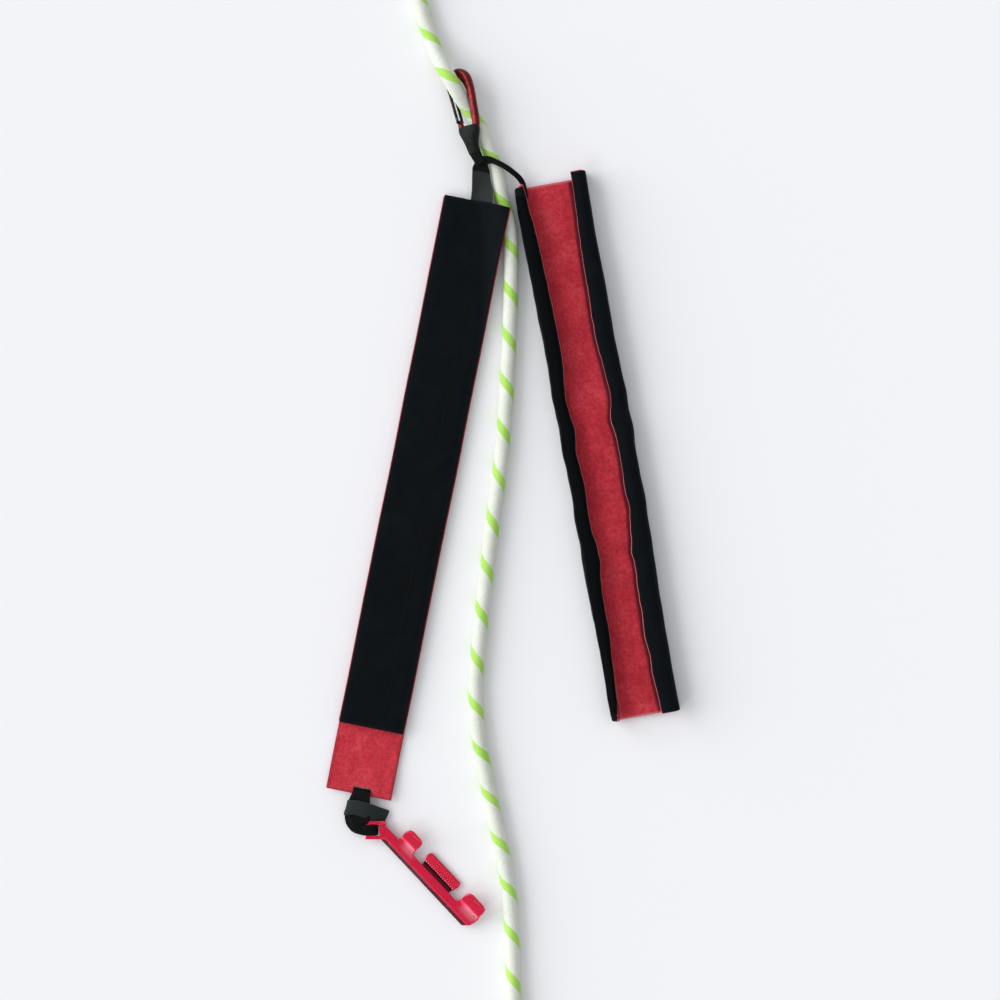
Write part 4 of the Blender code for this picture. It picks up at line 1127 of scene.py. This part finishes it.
def left_spine(felt):
    """Felt fold that joins the base to the flap along the sleeve's left edge."""
    fold = spline_points([(-24.65, 2.7), (-24.9, 2.85), (-25.02, 3.3), (-25.0, 3.9), (-24.85, 4.4),
                          (-24.5, 4.65), (-23.9, 4.72)], 0.42)
    ys = np.linspace(-1.2, -LEFT_LENGTH + 0.6, 150)
    x, y = np.meshgrid(fold[:, 0], ys)
    z = np.broadcast_to(fold[:, 1], x.shape)
    # Painted shade: the whole fold and its border are darkened.
    spine = cloth("left_spine_felt", left_place(x, y, z), 0.5, felt, 0.2, wear=-0.45, edge=-0.45)
    low, high = LEFT.world([(-24.9, BLEND_Y, 2.6), (-24.9, BLEND_Y, 4.6)]) * MM
    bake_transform(spine)


def build_left_hanger(materials):
    """Webbing from the split down to its bar tack on the base, wider and flatter as it goes."""
    start_x, start_y = SPLIT_LEFT
    across = np.linspace(-1.0, 1.0, 11)
    rows = []
    for y in np.linspace(start_y + 2.6, -14.0, 40):
        t = float(smooth((start_y - y) / start_y))
        centre = start_x + (3.1 - start_x) * t
        half = 4.5 + 1.9 * float(smooth((start_y - y) / 7.0)) + 1.9 * t
        half = half - 2.0 * float(smooth((y - start_y) / 2.6))
        x = centre + across * half
        rest = 4.65 + lift(x, np.minimum(0.0, np.full_like(x, y)))
        height = 11.45 + (rest - 11.45) * smooth((start_y - 5.0 - y) / (start_y - 5.0))
        dish = -0.35 * (1.0 - across ** 2) * math.sin(math.pi * t)
        rows.append(np.stack([x, np.full_like(x, y), height + dish], axis=-1))
    grid = LEFT.world(np.array(rows))
    body = cloth("left_hanger_strap", grid, 0.75, materials["grey_webbing"])
    hand_over(body, "left_sleeve", "webbing", "left_hanger_webbing")
    fold = cloth("left_hanger_fold", grid[:10] + 0.5 * UP, 0.24, materials["webbing"])
    hand_over(fold, "left_sleeve", "webbing")
    spots = []
    for row in range(4):
        y = -4.2 - 2.2 * row
        for k in range(15):
            x = 3.1 + 13.6 * (k / 14.0 - 0.5)
            tilt = 0.5 if (row + k) % 2 else -0.5
            z = 5.2 + float(lift(np.array(x), np.array(y)))
            spots.append((LEFT.world([(x, y, z)])[0], unit(LEFT.along + LEFT.across * tilt), UP))
    tack = stitches("left_hanger_tack", spots, 2.3, 0.2, materials["thread"])
    hand_over(tack, "left_sleeve", "stitching", "left_hanger_bar_tack")


# ---------------------------------------------------------------- right sleeve
# Plan of the two walls, as (place along the sleeve, distance across it): their outer faces and their rims.
near_outer = line_through([(6, -28.5), (-12, -29.5), (-26, -29.6), (-60, -29.0), (-95, -28.7), (-128, -28.1),
                           (-146, -28.3), (-160, -28.9), (-170, -28.4), (-181, -27.7), (-193, -28.4),
                           (-212, -27.9), (-236, -27.2), (-250, -28.3), (-270, -27.6), (-288, -28.4),
                           (-310, -27.9), (-340, -27.3), (-365, -27.0), (-388, -27.6), (-406, -27.2)])
near_rim = line_through([(6, -22.6), (-8, -21.6), (-26, -20.2), (-42, -18.7), (-63, -17.8), (-90, -17.0),
                         (-115, -16.5), (-136, -16.7), (-148, -17.9), (-160, -19.2), (-172, -18.2),
                         (-183, -16.5), (-193, -17.3), (-202, -18.2), (-214, -17.5), (-229, -16.4),
                         (-243, -17.4), (-256, -17.5), (-270, -16.0), (-284, -15.0), (-296, -16.9),
                         (-312, -17.6), (-338, -17.7), (-352, -18.8), (-368, -19.8), (-386, -20.9),
                         (-406, -23.0)])
far_outer = line_through([(8, 25.8), (-28, 25.2), (-50, 25.0), (-70, 25.4), (-100, 25.6), (-132, 25.6),
                          (-150, 26.1), (-163, 26.9), (-175, 26.6), (-189, 27.2), (-206, 26.2),
                          (-224, 26.4), (-240, 27.0),
                          (-256, 26.3), (-275, 26.1), (-292, 25.4), (-308, 24.9), (-332, 24.7), (-360, 24.3),
                          (-382, 24.2), (-406, 24.6)])
far_rim = line_through([(8, 14.2), (-12, 13.8), (-35, 12.8), (-62, 11.8), (-92, 11.3), (-120, 11.2),
                        (-134, 12.0), (-148, 13.2), (-162, 14.1), (-171, 13.6), (-177, 12.1),
                        (-183, 11.4), (-189, 12.2),
                        (-197, 13.0), (-212, 13.4), (-238, 12.8), (-249, 13.3), (-262, 11.9), (-272, 10.9),
                        (-281, 9.5), (-290, 10.1), (-306, 9.1), (-330, 8.9), (-345, 8.1), (-360, 9.1),
                        (-378, 8.9), (-394, 10.0), (-406, 10.6)])


def kink(y):
    """How far the sleeve has buckled at a place along it, 0 to 1."""
    return np.exp(-((y + 172.0) / 9.0) ** 2)


def wall_section(side, y, columns=34, extend=0.0):
    """Shell centre points in (x, z) from the floor joint out, up the wall and over the rim."""
    seed, outer, rim, rim_z, sag = ((31, near_outer, near_rim, NEAR_RIM_Z, 0.7) if side < 0
                                    else (32, far_outer, far_rim, FAR_RIM_Z, 1.5))
    fine = 0.22 * float(ripple(0.0, y, seed, 18.0))
    outer = float(outer(y)) + fine
    rim = float(rim(y)) + 0.9 * fine + 0.2 * float(ripple(0.0, y, seed + 4, 11.0))
    width = abs(rim - outer)
    rise = rim_z / 17.0
    top = rim_z + 0.5 * float(ripple(0.0, y, seed + 10, 55.0)) - 2.4 * float(kink(y))
    inward = 1.1 * float(kink(y)) + 0.3 * float(ripple(0.0, y, seed + 16, 40.0))
    bend = 10.2 * rise
    knots = [(FLOOR_JOIN, FLOOR_Z), (5.4, FLOOR_Z), (3.2, 1.15), (1.7, 2.2), (0.95, 4.2), (0.8, 7.0 * rise),
             (1.0 + 0.5 * inward, bend), (1.9 + inward, 0.5 * (bend + top) + 0.7),
             (3.6 + 0.6 * inward, top - 0.9), (0.5 * width + 0.6, top), (0.8 * width, top - 0.35 * sag),
             (width, top - sag)]
    path = spline_points(knots, 0.25)
    if extend:
        path = np.vstack([path, path[-1] + unit(path[-1] - path[-3]) * extend])
    path = resample(path, np.linspace(0.0, run_lengths(path)[-1], columns))
    return np.stack([outer - side * path[:, 0], path[:, 1]], axis=1)


def shifted(path, side, distance):
    """The section moved towards the channel by a distance, or away from it if negative."""
    flow = unit(np.gradient(path, axis=0))
    inward = np.stack([-side * flow[:, 1], side * flow[:, 0]], axis=1)
    return path + inward * distance


def wall_grid(side, y0, y1, distance=0.0, extend=0.0, part=(0.0, 1.0), columns=34, rows=ROWS, peak=0.0):
    """Grid of world points along a wall at a distance inside the shell's middle, its top end peaked."""
    grid = []
    for share in np.linspace(0.0, 1.0, rows):
        y = y0 + (y1 - y0) * share
        section = shifted(wall_section(side, y, 60, extend), side, distance)
        section = resample(section, run_lengths(section)[-1] * np.linspace(*part, columns))
        down = y + peak * smooth((section[:, 1] - 9.5) / 4.0) * (1.0 - share) ** 12
        grid.append(np.stack([section[:, 0], down, section[:, 1]], axis=1))
    return RIGHT.world(np.array(grid))


def floor_bumps(x, y, seed, size):
    """Unevenness of the channel's floor, dying out at its joints and raised where the sleeve has buckled."""
    left = near_outer(y) + FLOOR_JOIN
    right = far_outer(y) - FLOOR_JOIN
    window = smooth((x - left) / 5.0) * smooth((right - x) / 5.0)
    swell = 0.5 + 0.5 * ripple(x, y, seed, 34.0) + 0.25 * ripple(x, y, seed + 1, 9.0)
    ridge = kink(y + 0.35 * x) + 0.5 * np.exp(-((y + 268.0 - 0.3 * x) / 8.0) ** 2)
    return size * window * (0.55 * swell + 1.5 * ridge)


def floor_grid(y0, y1, z, size, columns=26):
    """Grid of world points between the feet of the two walls, with bumps of the given size."""
    grid = []
    for place in np.linspace(y0, y1, ROWS):
        x = np.linspace(wall_section(-1.0, place)[0, 0], wall_section(1.0, place)[0, 0], columns)
        y = np.full(columns, place)
        grid.append(np.stack([x, y, z + floor_bumps(x, y, 51, size)], axis=1))
    return RIGHT.world(np.array(grid))


def build_right_floor(materials):
    end = -RIGHT_LENGTH
    layer("right_floor_cloth", floor_grid(0.0, end, FLOOR_Z, 0.0), SHELL_THICK, materials["shell"],
          "right_sleeve", "shell_fabric", "right_floor_shell", (0.0385, 0.404), radius=0.2)
    ys = np.linspace(0.3, end - 0.3, ROWS)
    left = near_outer(ys) + FLOOR_JOIN
    right = far_outer(ys) - FLOOR_JOIN
    x = left[:, None] + (right - left)[:, None] * np.linspace(0.0, 1.0, 64)[None, :]
    # Painted shadow: the floor felt darkens from 3.6 mm inside the far rim's line out to the far wall, where
    # that rim casts its shadow.
    crease = -0.88 * smooth((x - far_rim(ys)[:, None] + 3.6) / 2.4)
    layer("right_floor_felt", floor_grid(0.3, end - 0.3, FLOOR_Z + LAYER_STEP, 1.0, 64), FELT_THICK,
          materials["felt"], "right_sleeve", "felt_lining", "right_floor_lining", (0.0385, 0.4046),
          radius=0.2, wear=crease)


def wall_sheet(name, grid, thick, material, body, part, slot, heights, flat, **shape):
    """Sheet of a wall that stands for its CAD part; the two heights at the wall's foot are not used."""
    piece = cloth(name, grid, thick, material, **shape)
    x = 27.3 if "far" in body else -27.3
    low, high = RIGHT.world([(x, BLEND_Y, heights[0]), (x, BLEND_Y, heights[1])]) * MM
    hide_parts(body + part)
    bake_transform(piece)


def build_right_wall(side, body, top, cuts, peak, shade_depth, seam_shares, tape, materials):
    """One wall: shell, lining, tape and seams.

    Its top end is at y = top, cuts are the flat sizes of shell and lining, peak is how far the lining rises
    above it, shade_depth how dark the painted shade on the lining under the rim gets, and the tape is (kind,
    distance, first share of the wall).
    """
    end = -RIGHT_LENGTH
    wall_sheet(body + "_cloth", wall_grid(side, top, end), SHELL_THICK, materials["shell"], body, "_shell",
               "shell_fabric", (1.2, 5.6), cuts[0])
    places = np.linspace(0.0, 1.0, 34)
    # Painted shade: the lining darkens under the rim's overhang, fading out at the floor joint and at the
    # rim's edge.
    under_rim_shade = -shade_depth * smooth((places - 0.1) / 0.2) * smooth((1.02 - places) / 0.1)
    wall_sheet(body + "_felt", wall_grid(side, top - 0.2, end - 0.3, LAYER_STEP, 0.9, peak=peak), FELT_THICK,
               materials["felt"], body, "_lining", "felt_lining", (3.2, 7.2), cuts[1],
               wear=under_rim_shade, edge=0.8)
    kind, distance, start = tape
    layer("right_" + kind + "_tape", wall_grid(side, -6.0, end + 6.0, distance, 0.0, (start, 0.93), 10, 170),
          0.7, materials[kind], body, kind + "_tape", "right_" + kind + "_strip")
    spots = []
    for share in seam_shares:
        part = (share - 0.004, share + 0.004)
        path, out = (wall_grid(side, top - 1.5, end + 1.5, distance, 0.0, part, 3)[:, 1]
                     for distance in (-0.76, -1.76))
        spots += stitch_row(path, unit(out - path))
    seam(body + "_stitching", spots, materials["thread"], body)


def build_right_sleeve(materials):
    build_right_floor(materials)
    build_right_wall(-1.0, "right_near_flap", 0.4, ((0.0262, 0.4044), (0.0217, 0.4047)), 2.6, 0.3,
                     (0.6, 0.965), ("loop", -1.45, 0.66), materials)
    build_right_wall(1.0, "right_far_flap", 4.6, ((0.0325, 0.4044), (0.0270, 0.4047)), 1.0, 0.75,
                     (0.63, 0.96), ("hook", 3.2, 0.68), materials)


def build_right_hanger(materials):
    route = [
        (0.0, 0.0, 12.9),
        (6.5, 0.5, 12.95),
        (12.0, -1.6, 13.3),
        (17.3, -4.4, 13.2),
        (22.5, -7.8, 11.2),
        (27.2, -11.4, 7.6),
        (30.4, -15.8, 5.1),
        (31.6, -21.0, 4.55),
        (32.7, -27.6, 4.5),
    ]
    centres = spline_points(np.array(route) + SPLIT + 0.05 * UP, 0.8)
    flow = np.gradient(centres, axis=0)
    sides = np.stack([-flow[:, 1], flow[:, 0], 0.0 * flow[:, 0]], axis=1)
    widths = 7.4 - 3.2 * smooth(run_lengths(centres) / 10.4)
    body = strap("right_hanger_strap", centres, sides, widths, 1.6, materials["webbing"], crown=0.15)
    hand_over(body, "right_sleeve", "webbing", "right_hanger_webbing")
    end = centres[-1]
    back = unit(centres[-1] - centres[-9])
    across = np.array([-back[1], back[0], 0.0])
    spots = []
    for k in range(10):
        for place in (-1.1, 0.0, 1.1):
            centre = end - back * (1.2 + 0.62 * k) + across * place + 0.95 * UP
            spots.append((centre, unit(across + back * (0.35 if k % 2 else -0.35)), UP))
    tack = stitches("right_hanger_tack", spots, 1.3, STITCH_RADIUS, materials["thread"])
    hand_over(tack, "right_sleeve", "stitching", "right_hanger_bar_tack")


# ---------------------------------------------------------------- tail webbing and rope clip
def tail_route():
    """Closed belt round the tab's lip and the clip's eye bar, its upper run fuller than its lower one."""
    lip = LEFT.world([(2.0, LIP_Y, 0.0)])[0]
    eye = EYE_SPOT
    p1 = lip - LEFT.along * 15.0
    p2 = eye - np.array([14.5, 0.0, 0.0])

    def plan(t, bow):
        s = 1.0 - t
        p = lip * s ** 3 + p1 * 3.0 * s * s * t + p2 * 3.0 * s * t * t + eye * t ** 3
        d = unit((p1 - lip) * 3.0 * s * s + (p2 - p1) * 6.0 * s * t + (eye - p2) * 3.0 * t * t)
        z = LIP_Z + (EYE_Z - LIP_Z) * float(smooth(t))
        half = 2.6 + 0.3 * t - 0.5 * math.sin(math.pi * t)
        wide = 13.4 + 3.4 * math.sin(math.pi * min(1.0, 1.5 * t)) - 5.6 * float(smooth((t - 0.55) / 0.45))
        side = np.cross(UP, d)
        return p + UP * z + side * bow * math.sin(math.pi * t) ** 2, side, half, wide

    runs = []
    steps = 23
    for t in np.linspace(0.0, 1.0, steps):
        p, side, half, wide = plan(t, 2.6)
        crease = 0.6 * math.sin(math.pi * t) - 1.4 * math.exp(-((t - 0.3) / 0.08) ** 2)
        runs.append((p + UP * (half + crease), side + UP * 0.25 * math.sin(2.0 * math.pi * t), wide))
    p, side, half, wide = plan(1.0, 0.0)
    for k in range(1, 8):
        angle = math.pi * (0.5 - k / 8.0)
        reach = half + 4.2 * math.cos(angle)
        runs.append((p + np.array([math.cos(angle) * reach, 0.0, math.sin(angle) * half]), side, wide))
    for t in np.linspace(1.0, 0.0, steps):
        p, side, half, wide = plan(t, -0.6)
        runs.append((p - UP * half, side, wide))
    p, side, half, wide = plan(0.0, 0.0)
    for k in range(1, 8):
        angle = math.pi * (-0.5 + k / 8.0)
        runs.append((p + LEFT.along * math.cos(angle) * half + UP * math.sin(angle) * half, side, wide))
    return zip(*runs)


def build_tail(materials):
    centres, sides, widths = tail_route()
    body = strap("tail_strap", centres, sides, widths, WEB, materials["webbing"], True)
    hand_over(body, "tail_webbing", "webbing", "tail_webbing")
    end = [(-14.6, 15.6, 2.6), (-15.8, 16.4, 5.4), (-14.4, 17.0, 8.0), (-9.0, 17.0, 9.2), (-2.0, 15.2, 8.8),
           (4.4, 12.6, 6.8), (9.8, 10.2, 4.0), (13.4, 8.6, 2.3)]
    fold = spline_points(np.array(end) + EYE_SPOT, 0.7)
    turned = np.tile([0.3, 0.95, 0.14], (len(fold), 1))
    wide = np.linspace(11.0, 12.4, len(fold))
    # Painted highlight: the strap's end takes the paler grey webbing while the belt it belongs to is black,
    # for the light on its upper face.
    flap = strap("tail_strap_end", fold, turned, wide, WEB, materials["grey_webbing"], crown=0.5)
    hand_over(flap, "tail_webbing", "webbing")
    spots = []
    for row in (4, 5, 6):
        flow = unit(centres[row + 1] - centres[row - 1])
        side = unit(sides[row])
        normal = unit(np.cross(flow, side))
        if normal[2] < 0.0:
            normal = -normal
        for k in range(11):
            place = (k / 10.0 - 0.5) * (widths[row] - 2.4)
            tilt = 0.5 if (row + k) % 2 else -0.5
            centre = centres[row] + side * place + normal * (0.5 * WEB + 0.16)
            spots.append((centre, unit(flow + side * tilt), normal))
    tack = stitches("tail_tack", spots, 1.7, 0.2, materials["thread"])
    hand_over(tack, "tail_webbing", "stitching", "tail_bar_tack")


def clip_point(u, v, z):
    """World point at u down the bar, v across it and z above the eye's height."""
    u, v, z = np.broadcast_arrays(np.asarray(u, float), v, z)
    x = EYE_SPOT[0] + BAR_U[0] * u + BAR_V[0] * v
    y = EYE_SPOT[1] + BAR_U[1] * u + BAR_V[1] * v
    return np.stack([x, y, EYE_SPOT[2] + EYE_Z + z], axis=-1)


def clip_plate(name, profile, left, right, thick, material, stations=30, columns=18, hole=None):
    """Bent plate: (v, z) profile from root to tip, and (v, u) points down its left and right edges."""
    path = spline_points(profile, 0.3)
    path = resample(path, np.linspace(0.0, run_lengths(path)[-1], stations))
    start = line_through(left)(path[:, 0])
    end = line_through(right)(path[:, 0])
    u = start[:, None] + (end - start)[:, None] * np.linspace(0.0, 1.0, columns)[None, :]
    grid = clip_point(u, path[:, 0:1], path[:, 1:2])
    return cloth(name, grid, thick, material, 0.6, hole, ROUNDING, painted_bend_highlight(u, path[:, 0:1]), 0.0)


def painted_bend_highlight(u, v):
    """Painted highlight along the bends at the feet of the two outer tabs: how much paler the metal is
    painted there.
    """
    tabs = np.exp(-((u - 32.0) / 6.0) ** 4) + np.exp(-((u - 97.0) / 7.5) ** 4)
    return 0.9 * tabs * np.exp(-((v - 12.6) / 3.0) ** 2)


def build_clip(materials):
    metal = materials["clip"]
    # dark is the shaded copy of the clip's metal: painted shade on the strip along the bar's lower edge and
    # on the web that drops to the jaw.
    dark = materials["clip_painted_shade"]
    bar = [(5.3, -0.3), (6.1, -0.05), (7.2, 0.0), (9.0, 0.0), (10.4, 0.0), (11.9, -0.05)]
    edge = [(2.3, -2.2), (3.2, -1.6), (4.3, -1.0), (5.6, -0.5)]
    web = [(11.2, -1.0), (12.4, -1.6), (13.4, -2.6), (14.6, -3.9)]
    tab = [(11.2, 0.0), (13.6, 0.15), (15.8, 0.8), (17.8, 2.0), (19.8, 3.5), (21.8, 5.0), (24.3, 6.7)]
    jaw = [(14.9, -3.1), (16.2, -3.2), (18.0, -3.3), (20.5, -3.3), (22.9, -3.3)]
    pieces = [
        clip_plate("rope_clip_bar", bar, [(5.3, 8.0), (11.9, 8.0)],
                   [(5.3, 102.9), (6.6, 103.8), (9.0, 104.7), (11.9, 105.2)],
                   CLIP_THICK - 0.3, metal, 10, 80),
        clip_plate("rope_clip_bar_edge", edge, [(2.3, 9.8), (5.6, 8.4)], [(2.3, 100.2), (5.6, 102.8)],
                   1.7, dark, 8, 80),
        clip_plate("rope_clip_web", web, [(11.2, 46.9), (14.6, 46.2)], [(11.2, 75.6), (14.6, 76.4)],
                   1.6, dark, 8, 40),
        clip_plate("rope_clip_tab_upper", tab,
                   [(11.2, 20.2), (13.2, 20.9), (14.4, 23.0), (15.6, 21.4), (17.2, 20.7), (21.6, 20.8),
                    (23.4, 22.0), (24.3, 24.4)],
                   [(11.2, 37.4), (14.0, 35.9), (17.0, 35.5), (21.6, 35.4), (23.4, 34.2), (24.3, 31.8)],
                   2.5, metal),
        clip_plate("rope_clip_tab_lower", tab,
                   [(11.2, 83.2), (13.4, 84.9), (15.4, 85.4), (21.6, 85.5), (23.4, 86.7), (24.3, 89.0)],
                   [(11.2, 105.2), (14.2, 105.2), (17.0, 104.3), (21.6, 103.7), (23.4, 102.5), (24.3, 100.2)],
                   2.5, metal, 30, 21, (4, 7, 15, 17)),
        clip_plate("rope_clip_jaw", jaw, [(14.9, 46.2), (16.2, 45.5), (21.8, 45.0), (22.9, 46.0)],
                   [(14.9, 76.4), (16.2, 77.0), (21.8, 77.2), (22.9, 76.4)], 2.2, metal, 24, 40),
        clip_eye(metal),
    ]
    body = join("rope_clip_plate", pieces + clip_teeth(metal, materials["clip_glint"]))
    soften = body.modifiers.new("soften", "BEVEL")
    soften.width = 0.2 * MM
    soften.segments = 2
    soften.limit_method = "ANGLE"
    soften.angle_limit = math.radians(50.0)
    hand_over(body, "rope_clip", "clip_anodised", "rope_clip")


def clip_eye(metal):
    """Square eye that the webbing loop runs through."""
    x, y = np.meshgrid([-1.7, 1.7, 5.3, 8.9, 13.6], [-6.9, -4.3, 0.0, 4.3, 6.9], indexing="ij")
    grid = np.stack([x, y, np.full_like(x, EYE_Z)], axis=-1) + EYE_SPOT
    return cloth("rope_clip_eye", grid, CLIP_THICK, metal, 0.65, (1, 3, 1, 3), ROUNDING, edge=0.0)


def clip_teeth(metal, worn_and_painted_light):
    """Rows of small blunt teeth along the jaw, its first row in a pale painted highlight."""
    teeth = []
    turn = 2.0 * math.pi * (np.arange(8) + 0.5) / 8.0
    for row, (v, size) in enumerate(((15.7, 0.55), (17.5, 0.8), (19.4, 0.8), (21.3, 0.8))):
        for k in range(15):
            u = 47.2 + 2.0 * k + (0.9 if row % 2 else 0.0)
            rings = [clip_point(u + size * wide * np.cos(turn), v + size * wide * np.sin(turn), -2.35 + rise)
                     for wide, rise in ((1.1, -0.2), (1.0, 0.25), (0.6, 0.62), (0.15, 0.7))]
            skin = metal if row else worn_and_painted_light
            teeth.append(sweep("tooth", rings, np.arange(9.0), [0.0, 0.5, 1.0, 1.2], skin))
    return teeth


def join(name, pieces):
    """One object from several."""
    target = pieces[0]
    with bpy.context.temp_override(active_object=target, object=target, selected_objects=pieces,
                                   selected_editable_objects=pieces):
        bpy.ops.object.join()
    target.name = name
    target.data.name = name
    return target


# ---------------------------------------------------------------- stage
def build_stage():
    mesh = bpy.data.meshes.new("studio_floor")
    corners = [(-12.0, -12.0, 0.0), (12.0, -12.0, 0.0), (12.0, 12.0, 0.0), (-12.0, 12.0, 0.0)]
    mesh.from_pydata(corners, [], [(0, 1, 2, 3)])
    mesh.materials.append(floor_material())
    ground = bpy.data.objects.new("studio_floor", mesh)
    bpy.context.scene.collection.objects.link(ground)
    build_sky()
    bpy.context.scene.view_settings.view_transform = "Standard"
    add_light("window", (-0.93, 0.3, 0.38), 60.0, 2.5)
    add_light("kicker", (-0.54, -0.51, 0.67), 16.0, 0.3)


def build_sky():
    """Pale sky, brighter towards the window's side."""
    world = bpy.data.worlds.new("studio")
    world.use_nodes = True
    nodes = world.node_tree.nodes
    links = world.node_tree.links
    sky = nodes["Background"]
    sky.inputs["Color"].default_value = (0.965, 0.97, 1.0, 1.0)
    facing = nodes.new("ShaderNodeVectorMath")
    facing.operation = "DOT_PRODUCT"
    facing.inputs[1].default_value = unit([-0.75, 0.2, 0.75])
    links.new(nodes.new("ShaderNodeTexCoord").outputs["Generated"], facing.inputs[0])
    level = nodes.new("ShaderNodeMapRange")
    level.inputs["From Min"].default_value = -0.9
    level.inputs["To Min"].default_value = 0.36
    level.inputs["To Max"].default_value = 0.79
    links.new(facing.outputs["Value"], level.inputs["Value"])
    links.new(level.outputs[0], sky.inputs["Strength"])
    bpy.context.scene.world = world


def add_light(name, toward, spread, power):
    """Wide soft light from far away, its spread in degrees."""
    light = bpy.data.lights.new(name, "SUN")
    light.angle = math.radians(spread)
    light.energy = power
    lamp = bpy.data.objects.new(name, light)
    lamp.location = Vector(toward)
    lamp.rotation_mode = "QUATERNION"
    lamp.rotation_quaternion = Vector(toward).to_track_quat("Z", "Y")
    bpy.context.scene.collection.objects.link(lamp)


def build_camera():
    data = bpy.data.cameras.new("camera")
    data.lens = CAMERA_LENS
    data.clip_start = 0.05
    camera = bpy.data.objects.new("camera", data)
    camera.location = [value * MM for value in CAMERA_SPOT]
    bpy.context.scene.collection.objects.link(camera)
    bpy.context.scene.camera = camera


def main():
    build_camera()
    build_stage()
    materials = make_materials()
    build_rope(materials)
    build_carabiner(materials)
    build_lanyard(materials)
    build_left_sleeve(materials)
    build_left_hanger(materials)
    build_right_sleeve(materials)
    build_right_hanger(materials)
    build_tail(materials)
    build_clip(materials)


main()
